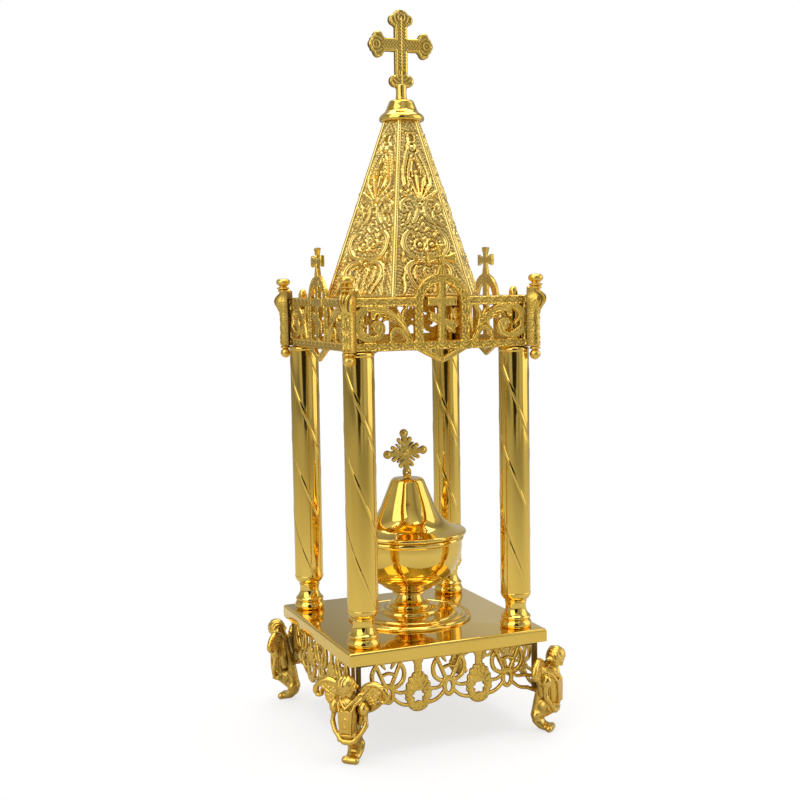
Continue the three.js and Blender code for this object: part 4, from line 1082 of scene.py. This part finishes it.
tilted = (face.z * 0.55 + face.fold * 0.9) * 2 * math.pi / 2.9
level = (face.fold * 0.30 - face.z) * 2 * math.pi / 2.5
beads = np.abs(np.cos(tilted / 2) * np.cos(level / 2)) ** 0.7
lattice_pitch = math.pi / 2.9
lattice = np.cos((face.x + face.z) * lattice_pitch) * np.cos((face.x - face.z) * lattice_pitch)
heart_edge = [(-1, 0.22), (7, 0.225), (13, 0.245), (15, 0.285), (13, 0.33), (8, 0.345), (-1, 0.35)]
plain_edge = [(-1, 0.545), (9.4, 0.585), (9.6, 0.65), (8.0, 0.72), (3.4, 0.83), (2.8, 0.91), (-1, 0.915)]
heart = face.outline(up(heart_edge))
plain = face.outline(up(plain_edge))
ground = np.where(plain > 0, 0.10, 0.68 * beads)
ground = np.where(heart > 0, 0.70 * np.sqrt(np.abs(lattice)), ground)
dip = 0.55 * np.exp(-((motif + 0.4) / 0.5) ** 2)
face.height = np.where(motif > 0, shape + 0.48, ground - dip)
face.height = np.where(from_fold < 2.2, 0.1, face.height)
face.height = np.where(face.z < 2.4, 0.55 - 0.4 * (np.abs(face.z - 1.9) < 0.4), face.height)
verts, faces, hollow = face.form(spire_wall, backed=False)

lean = math.atan2(flat_base - flat_top, spire_height)
out, along = verts[:, 1] - spire_wall, verts[:, 2]
distance = flat_base - along * math.sin(lean) + out * math.cos(lean)
level = along * math.cos(lean) + out * math.sin(lean)
leant = np.stack([verts[:, 0], -distance, np.clip(level, 0, spire_height) + spire_base], 1)
spire_forms = [(turned_out(leant, 0, side * math.pi / 3), faces, hollow) for side in range(6)]


def beaded_rib(turn):
    """A round rib along a fold, pinched into beads."""
    foot = np.array([corner_base * math.sin(turn), -corner_base * math.cos(turn), 0])
    head = np.array([corner_top * math.sin(turn), -corner_top * math.cos(turn), spire_height])
    along = head - foot
    length = np.linalg.norm(along)
    along /= length
    side = np.array([math.cos(turn), math.sin(turn), 0])
    outward = np.cross(side, along)
    if outward[2] < 0:
        outward = -outward
    bead, rows = 2.0, 260
    verts = []
    for row in range(rows + 1):
        place = length * row / rows
        pinch = 0.30 * (1 - abs(math.cos(math.pi * place / bead)))
        strip = [(1.6, -1.5), (1.5, -0.3), (1.2, 0.05), (0.8, 0.45 - pinch), (0.35, 0.62 - pinch)]
        strip += [(-across, rise) for across, rise in reversed(strip)]
        for across_fold, rise in strip:
            verts.append(foot + along * place + side * across_fold + outward * rise)
    faces = []
    for row in range(rows):
        for k in range(len(strip) - 1):
            a = row * len(strip) + k
            faces.append((a, a + len(strip), a + len(strip) + 1, a + 1))
    verts = np.array(verts)
    verts[:, 2] = np.clip(verts[:, 2], 0, spire_height) + spire_base
    return verts, faces


for fold in range(6):
    spire_forms.append(beaded_rib((fold + 0.5) * math.pi / 3))
liner = []
for radius, level in (
    (corner_base - 0.3, 0), (corner_base - 1.6, 0),
    (corner_top - 1.3, spire_height), (corner_top, spire_height),
):
    for fold in range(6):
        turn = (fold + 0.5) * math.pi / 3
        liner.append((radius * math.sin(turn), -radius * math.cos(turn), spire_base + level))
spire_forms.append((liner, rings_to_faces(4, 6)))
# The gilding paints shade and dark wax on the low ground between the embossing, according to its hollows.
embossed = gilding(
    "embossed_gold", (0.97, 0.74, 0.25), (0.95, 0.67, 0.18), roughness=0.23, patch_scale=40.0, bump=0.06,
    grain=1400.0, wax=0.5)
verts, faces, hollow = joined(*spire_forms)
piece("spire", verts, faces, embossed, "embossed_gilding", ["spire"], 60, hollow)


# Crosses: the budded cross on the cap, cast with a rim and a herringbone ground on both sides, and
# the leafed cross on the lid, with a boss in the middle and a short point between its arms.

cross_low, cross_high = millimetres("top_cross")
cross_middle, cross_reach, cross_arm = 490.7, 26.3, 4.7
stem_base = cross_low[2]
budded = Pattern(-27.4, 27.4, stem_base + 7, cross_high[2] + 1, 0.45)
lobe, lobe_back, tip_in = 3.9, 17.6, 5.4
budded.add(budded.outline([
    (-1, stem_base + 8), (3.9, stem_base + 8), (cross_arm, stem_base + 12),
    (cross_arm, cross_middle + 20), (-1, cross_middle + 20)]), 0.3, 0.8)
budded.add(budded.bar(-1, cross_middle - cross_arm, 20, cross_middle + cross_arm), 0.3, 0.8)
budded.disc(cross_reach - tip_in, cross_middle, lobe, 0.3)
budded.disc(0, cross_middle + cross_reach - 4.4, lobe, 0.3)
bud_side = [(12.4, 4.6), (15.4, 8.2), (18.6, 8.6), (23.4, 4.0)]
side_bud = bud_side + [(along, -out) for along, out in reversed(bud_side)]
budded.add(budded.outline([(along, cross_middle + out) for along, out in side_bud]), 0.3, 0.8)
upper_bud = [(out, cross_middle + along) for along, out in bud_side]
upper_bud += [(-1, cross_middle + 23.4), (-1, cross_middle + 12.4)]
budded.add(budded.outline(upper_bud), 0.3, 0.8)
for side in (-1, 1):
    budded.disc(lobe_back, cross_middle + side * 5.3, lobe, 0.3)
budded.disc(5.3, cross_middle + lobe_back, lobe, 0.3)
budded.disc(4.9, cross_middle - 25.3, 4.3, 0.3)
from_middle_x, from_middle_z = budded.x, budded.z - cross_middle
upright = np.abs(from_middle_z) > np.abs(from_middle_x)
along_arm = np.where(upright, np.abs(from_middle_z), np.abs(from_middle_x))
off_arm = np.where(upright, np.abs(from_middle_x), np.abs(from_middle_z))
herring = np.cos((along_arm + off_arm) * 2 * math.pi / 2.3)
bud = np.hypot(along_arm - 19.5, off_arm)
bud_rings = np.cos(bud * 2 * math.pi / 2.6)
ground = 0.24 * np.where(along_arm > 15.5, bud_rings, herring)
rim = 0.55 * np.exp(-((budded.inside - 0.95) / 0.5) ** 2)
budded.height = np.where(budded.inside > 1.7, 0.22 + ground, 0.15 + rim)
half_thick = 1.5
verts, faces, hollow = budded.form(half_thick, two_sided=True)
verts[:, 1] *= -1
stem_profile = [
    [(0, 0), (4.3, 0)],
    [(4.3, 0), (4.4, 0.6), (4.2, 1.2), (3.9, 2.4), (3.8, 5.4), (3.9, 8.0), (3.9, 10.2), (3.0, 11.0),
     (0, 11.2)],
]
verts, faces, hollow = joined(
    (verts, [tuple(reversed(f)) for f in faces], hollow), turned_mesh(stem_profile, (0, 0), stem_base, 40))
cross_gold = gilding(
    "bright_cast_gold", (0.86, 0.62, 0.16), (0.80, 0.53, 0.10), roughness=0.22, patch_scale=50.0, bump=0.2,
    grain=1500.0, wax=0.7)
piece("top_cross", verts, faces, cross_gold, "cast_gilding", ["top_cross"], 55, hollow)

small_seat = 178.8
small_middle, small_reach = 18.7, 17.2
leafed = Pattern(-18.48, 18.48, -0.42, 36.96, 0.42)


def on_arm(dx, dz, pairs, lift=1):
    """Places given as distance along the arm that points to (dx, dz) and out from its middle line."""
    return [(dx * along + abs(dz) * out * lift, small_middle + dz * along + dx * out * lift)
            for along, out in pairs]


leaflet = [(6.4, 1.0), (7.4, 2.8), (8.8, 4.1), (9.6, 4.4)]
for dx, dz in ((1, 0), (0, 1), (0, -1)):
    arm = on_arm(dx, dz, [(0, 0), (5, 0), (8, 0), (small_reach - 4, 0)])
    leafed.stroke(arm, [5.6, 4.8, 4.2, 4.2], 0.5)
    for lift in (-1, 1) if dx else (1,):
        leafed.stroke(on_arm(dx, dz, leaflet, lift), [3.4, 3.4, 2.6, 2.0], 0.6)
        leafed.disc(*on_arm(dx, dz, [(9.5, 4.3)], lift)[0], 1.6, 0.9)
    tip = on_arm(dx, dz, [(small_reach - 3.1, 0)])[0]
    leafed.disc(*tip, 3.1, 0.5)
    leafed.disc(*tip, 1.6, 1.1)
for side in (-1, 1):
    leafed.stroke([(3.0, small_middle + side * 3.0), (6.4, small_middle + side * 6.4)], [2.6, 1.5], 0.5)
leafed.disc(0, small_middle, 4.9, 0.3)
boss = np.hypot(leafed.x, leafed.z - small_middle)
around_boss = np.arctan2(leafed.z - small_middle, leafed.x)
petals = 0.25 * np.abs(np.cos(4 * around_boss)) * np.exp(-((boss - 3.3) / 0.7) ** 2)
dome = 0.6 * np.sqrt(np.clip(1 - (boss / 2.2) ** 2, 0, 1))
leafed.height = np.where(boss < 4.2, 0.4 + petals + dome, leafed.height)
eye_height = small_middle - small_reach + 1.6
leafed.disc(0, eye_height, 3.2, 0.4)
leafed.stroke([(0, 0), (0, 3)], [4.2, 3.4], 0.4, whole=True)
leafed.cut(1.0 - np.hypot(leafed.x, leafed.z - eye_height))
leafed.height += 0.16 * np.exp(-((leafed.inside - 0.55) / 0.35) ** 2)
verts, faces, hollow = leafed.form(0.85, two_sided=True)
tilt = math.radians(-4)
leant = np.stack([
    verts[:, 0] * math.cos(tilt) + verts[:, 2] * math.sin(tilt),
    -verts[:, 1],
    small_seat + verts[:, 2] * math.cos(tilt) - verts[:, 0] * math.sin(tilt)], 1)
leant[:, 2] = np.maximum(leant[:, 2], small_seat)
knob = [[(0, 0), (3.2, 0), (3.3, 0.6), (2.6, 1.3), (1.8, 2.0), (1.6, 2.8), (0, 3.0)]]
verts, faces, hollow = joined(
    (leant, [tuple(reversed(f)) for f in faces], hollow), turned_mesh(knob, (0, 0), small_seat, 32))
piece("lid_cross", verts, faces, cross_gold, "cast_gilding", ["lid_cross"], 55, hollow)


# Feet: four cherubs with bowed heads and spread wings, a panel in front and hands joined below it,
# each on one scrolled leg. They are modelled in wax, cast in brass and gilded, with dark wax and
# painted shade in the folds, and painted shade on the upper back.


class Wax:
    """A figure modelled on a grid of distances, below zero inside the wax."""

    def __init__(self, low, high, step):
        self.low, self.step = np.array(low, float), step
        axes = [np.arange(a, b + step, step) for a, b in zip(low, high)]
        self.x, self.y, self.z = np.meshgrid(*axes, indexing="ij")
        self.depth = np.full(self.x.shape, 9.0)

    def press(self, other, soft):
        """Joins a form on with a soft seam."""
        mix = np.clip(0.5 + 0.5 * (self.depth - other) / soft, 0, 1)
        self.depth = self.depth * (1 - mix) + other * mix - soft * mix * (1 - mix)

    def egg(self, centre, radii, soft=0.6):
        """A rounded lump."""
        parts = zip((self.x, self.y, self.z), centre, radii)
        size = np.sqrt(sum(((place - middle) / radius) ** 2 for place, middle, radius in parts))
        self.press((size - 1) * min(radii), soft)

    def roll(self, stations, soft=1.0, wide=1.0):
        """A limb through (x, y, z, radius) stations; wide stretches it across."""
        best = np.full(self.x.shape, 99.0)
        for (ax, ay, az, ar), (bx, by, bz, br) in zip(stations, stations[1:]):
            dx, dy, dz = (bx - ax) / wide, by - ay, bz - az
            px, py, pz = (self.x - ax) / wide, self.y - ay, self.z - az
            share = np.clip((px * dx + py * dy + pz * dz) / (dx * dx + dy * dy + dz * dz), 0, 1)
            gap_to = np.sqrt((px - share * dx) ** 2 + (py - share * dy) ** 2 + (pz - share * dz) ** 2)
            best = np.minimum(best, gap_to - (ar + (br - ar) * share))
        self.press(best, soft)

    def carve(self, stations, radius, depth):
        """A tooled line along stations of (x, y, z)."""
        best = np.full(self.x.shape, 99.0)
        for a, b in zip(stations, stations[1:]):
            d = [q - p for p, q in zip(a, b)]
            offset = (self.x - a[0], self.y - a[1], self.z - a[2])
            share = np.clip(sum(p * q for p, q in zip(offset, d)) / sum(q * q for q in d), 0, 1)
            best = np.minimum(best, sum((p - share * q) ** 2 for p, q in zip(offset, d)))
        self.depth += depth * np.exp(-best / (radius * radius))

    def form(self):
        """Points, faces and hollows of the surface of the wax."""
        field, step = self.depth, self.step
        cells = tuple(n - 1 for n in field.shape)
        total = np.zeros(cells)
        places = [np.zeros(cells) for _ in range(3)]
        for axis in range(3):
            a = np.moveaxis(field, axis, 0)[:-1]
            b = np.moveaxis(field, axis, 0)[1:]
            change = (a < 0) != (b < 0)
            share = np.where(change, a / np.where(change, a - b, 1), 0)
            for u in (0, 1):
                for v in (0, 1):
                    cut = (slice(None), slice(u, u + change.shape[1] - 1),
                           slice(v, v + change.shape[2] - 1))
                    hit = np.moveaxis(change[cut], 0, axis)
                    part = np.moveaxis(share[cut], 0, axis)
                    total += hit
                    others = [k for k in range(3) if k != axis]
                    places[axis] += hit * part
                    places[others[0]] += hit * u
                    places[others[1]] += hit * v
        mixed = total > 0
        number = np.full(cells, -1)
        number[mixed] = np.arange(mixed.sum())
        index = np.nonzero(mixed)
        verts = np.stack([
            self.low[k] + step * (index[k] + places[k][mixed] / total[mixed]) for k in range(3)], 1)
        faces = []
        for axis in range(3):
            moved = np.moveaxis(field, axis, 0)
            table = np.moveaxis(number, axis, 0)
            a, b = moved[:-1, 1:-1, 1:-1] < 0, moved[1:, 1:-1, 1:-1] < 0
            for here, flip in ((a & ~b, False), (~a & b, True)):
                i, j, k = np.nonzero(here)
                quad = [table[i, j, k], table[i, j + 1, k], table[i, j + 1, k + 1], table[i, j, k + 1]]
                if flip != (axis == 1):
                    quad.reverse()
                faces.append(np.stack(quad, 1))
        # A blurred depth marks folds and creases, where the gilding paints shade and dark wax.
        clipped = np.clip(field, -2, 2)
        for axis in range(3):
            clipped = sum(np.roll(clipped, shift, axis) for shift in (-3, -2, -1, 0, 1, 2, 3)) / 7
        cavity = np.clip(0.42 - clipped[index] * 0.9, 0, 1)
        return verts, np.concatenate(faces).tolist(), cavity


figure = Wax((-31, -21.5, -1.6), (31, 9.8, 67.0), 0.69)
nod = 0.75
head = (0, -11.0, 54.6)
chest = [(0, -6.6, 50, 3.4), (0, -7.2, 43, 5.2), (0, -8.4, 34, 4.9), (0, -8.6, 27, 4.5), (0, -6.8, 20, 4.8)]
back = [(0, -4.2, 48, 3.2), (0, -2.0, 38, 3.2), (0, 0.8, 28, 3.4), (0, 2.4, 19, 3.5), (0, 3.4, 11, 4.1)]
figure.roll(chest, 1.0, 1.2)
figure.roll(back, 1.0, 1.2)


def on_head(x, ahead, above):
    """A place given from the middle of the bowed head: across, ahead of the face and above."""
    return (x, head[1] - ahead * math.cos(nod) - above * math.sin(nod),
            head[2] - ahead * math.sin(nod) + above * math.cos(nod))


ahead = -(figure.y - head[1]) * math.cos(nod) - (figure.z - head[2]) * math.sin(nod)
above = -(figure.y - head[1]) * math.sin(nod) + (figure.z - head[2]) * math.cos(nod)
skull = np.sqrt((figure.x / 6.2) ** 2 + (ahead / 6.0) ** 2 + ((above + 0.4) / 7.2) ** 2)
figure.press((skull - 1) * 6.0, 0.8)
locks = 0.32 * np.cos(15 * np.arctan2(figure.x, above + 1.0) + 1.2 * np.sin(0.9 * ahead))
hair = np.sqrt((figure.x / 6.9) ** 2 + ((ahead + 0.6) / 6.5) ** 2 + ((above - 1.2) / 6.5) ** 2)
hairline = (3.6 + 0.9 * (ahead - 4.6) - above) * 0.75
figure.press(np.maximum((hair - 1) * 6.5 - locks, hairline), 0.35)
for side in (-1, 1):
    for curl in range(3):
        figure.egg(on_head(side * 6.0, 1.6 - 2.0 * curl, 0.2 - 1.6 * curl), (1.4, 1.6, 1.6), 0.7)
    figure.egg(on_head(side * 2.4, 5.0, 1.4), (1.6, 1.1, 1.1), 0.3)
    figure.egg(on_head(side * 2.7, 4.4, -2.4), (2.2, 1.9, 2.0), 0.8)
    figure.carve([on_head(side * 1.0, 5.9, 2.9), on_head(side * 3.6, 5.2, 2.7)], 0.55, -0.4)
    figure.carve([on_head(side * 1.2, 6.0, 0.5), on_head(side * 3.4, 5.4, 0.5)], 0.5, 0.35)
figure.roll([(*on_head(0, 5.5, 1.8), 0.8), (*on_head(0, 6.5, -1.0), 1.25)], 0.6)
figure.carve([on_head(-1.6, 5.6, -3.6), on_head(1.6, 5.6, -3.6)], 0.55, 0.45)
figure.egg(on_head(0, 5.0, -4.4), (1.6, 1.0, 0.9), 0.4)
figure.egg(on_head(0, 3.9, -6.0), (2.1, 1.6, 1.5), 0.7)

collar = [(6.8, -5.6, 47.4, 1.6), (4.6, -11.0, 44.6, 1.3), (0, -14.2, 39.8, 0.9)]
lapel = [(8.8, -5.6, 45.0, 1.5), (6.0, -11.2, 42.0, 1.2), (4.5, -13.6, 37.6, 0.9)]
upper_arm = [(8.8, -3.2, 47, 2.8), (8.6, -2.4, 37, 3.3), (6.0, -2.2, 28, 2.6)]
lower_arm = [
    (11.2, -6.6, 35.4, 2.0), (12.2, -7.0, 31.0, 1.5), (12.2, -7.4, 28.0, 1.9), (9.6, -9.6, 23.0, 1.7),
    (5.6, -10.8, 18.6, 1.7)]


def mirrored(side, stations):
    """Stations of the left or right half, across being turned over for the left."""
    return [(side * x, *others) for x, *others in stations]


for side in (-1, 1):
    figure.roll(mirrored(side, collar), 0.35)
    figure.roll(mirrored(side, lapel), 0.35)
    figure.roll(mirrored(side, upper_arm), 0.8)
    figure.egg((side * 10.6, -7.0, 38.8), (3.8, 4.2, 5.0), 0.7)
    swirl = [(14.0, -7.0 + 2.5 * math.cos(t), 38.8 + 3.0 * math.sin(t)) for t in np.linspace(0, 5.2, 9)]
    figure.carve(mirrored(side, swirl), 0.6, 0.55)
    figure.roll(mirrored(side, lower_arm), 0.5)
    figure.egg((side * 4.8, -11.2, 17.6), (2.6, 1.9, 1.9), 0.5)
    for finger in range(3):
        knuckles = [(6.6, -12.7, 19.0 - 1.3 * finger), (3.2, -13.1, 18.4 - 1.3 * finger)]
        figure.carve(mirrored(side, knuckles), 0.35, 0.3)

panel_half = 3.6 + (figure.z - 22) * 0.06
panel = np.maximum(np.abs(figure.x) - panel_half, np.abs(figure.z - 30.8) - 7.8)
figure.press(np.maximum(panel, np.abs(figure.y + 13.0) - 1.2), 0.4)
panel_edge = [(4.5, -13.9, 38.6, 0.9), (4.2, -14.3, 31.0, 0.8), (3.6, -14.3, 22.8, 0.8)]
for side in (-1, 1):
    figure.roll(mirrored(side, panel_edge), 0.3)
oval = np.sqrt((figure.x / 1.9) ** 2 + ((figure.z - 30.0) / 2.9) ** 2)
figure.depth -= 0.55 * np.exp(-((oval - 1) / 0.28) ** 2) * (figure.y < -11)
figure.depth -= 0.45 * np.exp(-(oval / 0.4) ** 2) * (figure.y < -11)

girdle = [(-5.8, -8.6, 21.6, 1.3), (-3.6, -12.6, 21.2, 1.1), (3.6, -12.6, 21.2, 1.1), (5.8, -8.6, 21.6, 1.3)]
hands = [(-5.0, -8.0, 17.4, 2.2), (-2.4, -11.2, 16.6, 2.2), (2.4, -11.2, 16.6, 2.2), (5.0, -8.0, 17.4, 2.2)]
thigh = [(0, -7.6, 16.6, 3.6), (0, -2.4, 13.6, 3.8), (0, 1.8, 11.6, 4.2)]
scroll = [
    (0, 3.0, 11.0, 4.3), (0, 2.4, 7.4, 4.0), (0, -0.6, 4.2, 3.5), (0, -4.6, 2.6, 2.9), (0, -6.6, 2.2, 2.6)]
scroll_line = [
    (4.6, -4.6, 14.6), (5.2, 0.6, 12.0), (5.4, 1.8, 8.4), (5.6, -1.6, 5.2), (5.8, -5.8, 4.4)]
figure.roll(girdle, 0.4)
figure.roll(hands, 0.7)
figure.egg((0, -3.2, 18.0), (5.6, 6.4, 6.4), 1.0)
figure.roll(thigh, 0.8, 1.3)
figure.roll(scroll, 0.8, 1.5)
figure.roll([(-3.8, -6.8, 2.4, 2.6), (3.8, -6.8, 2.4, 2.6)], 0.8)
for side in (-1, 1):
    figure.carve(mirrored(side, scroll_line), 0.6, 0.5)
figure.carve([(-5.0, -3.0, 6.6), (0, -3.4, 7.0), (5.0, -3.0, 6.6)], 0.7, 0.5)
for toe in (-2.4, 2.4):
    figure.carve([(toe, -9.2, 1.0), (toe, -8.8, 3.8)], 0.5, 0.25)

wing_step = 0.5
wing = Pattern(-31, 31, -1.6, 67.0, wing_step)
plate = [
    (5, 36), (7, 50), (11, 54.2), (15, 56), (19.5, 56), (23.6, 53.4), (22.8, 49.8), (20.4, 47.6), (18.8, 44),
    (16.4, 40.2), (13, 37), (9, 34)]
leading_edge = [
    (7.6, 50.4), (11, 53.8), (15, 55.2), (19.4, 55.0), (23.6, 52.6), (26.2, 49.0), (26.4, 45.8), (24.2, 44.0),
    (22.0, 45.2), (22.2, 47.4)]
root_x, root_z = 2.0, 38.0
wing.add(wing.outline(plate), 0.5, 1.2)
root_angle = np.arctan2(wing.z - root_z, wing.fold - root_x)
from_root = np.hypot(wing.fold - root_x, wing.z - root_z)
feathers = np.cos(root_angle * 46) * np.clip((from_root - 8) / 4, 0, 1)
wing.height += 0.34 * feathers * (wing.inside > 0.4)
wing.stroke(leading_edge, [2.6, 3.2, 3.4, 3.6, 3.8, 3.8, 3.4, 3.0, 2.6, 2.0], 1.5, 2.0)
wing.stroke([(14.4, 37.2), (17.2, 40.8), (19.4, 45.0)], [1.4, 1.8, 1.4], 1.1, 2.0)
rows = np.clip(np.round((figure.z[0, 0] + 1.6) / wing_step).astype(int), 0, wing.z.shape[0] - 1)
cols = np.clip(np.round((figure.x[:, 0, 0] + 31) / wing_step).astype(int), 0, wing.x.shape[1] - 1)
flat_inside = wing.inside[np.ix_(rows, cols)].T[:, None, :]
flat_height = wing.height[np.ix_(rows, cols)].T[:, None, :]
sheet_of_wax = np.maximum(-flat_inside * 0.9, np.abs(figure.y + 3.2) - 0.8 - flat_height)
figure.press(np.where(np.abs(figure.x) > 3.5, sheet_of_wax, 9.0), 0.4)
figure.depth = np.maximum(figure.depth, -figure.z)

foot_seat = 101.13
foot_gold = gilding(
    "figure_gold", (0.84, 0.57, 0.135), (0.76, 0.48, 0.08), roughness=0.24, patch_scale=70.0, bump=0.2,
    grain=1500.0, wax=0.85)
verts, faces, hollow = figure.form()
# Painted shade on the upper back, which faces the skirt.
behind = np.clip((verts[:, 1] + 4.0) / 6, 0, 1) * np.clip((verts[:, 2] - 38) / 10, 0, 1)
behind *= np.abs(verts[:, 0]) < 9
foot_form = verts, faces, np.clip(hollow + behind * 0.6, 0, 1)
four_castings("foot_", corner_names, foot_form, foot_seat, math.pi / 4, foot_gold, 70)
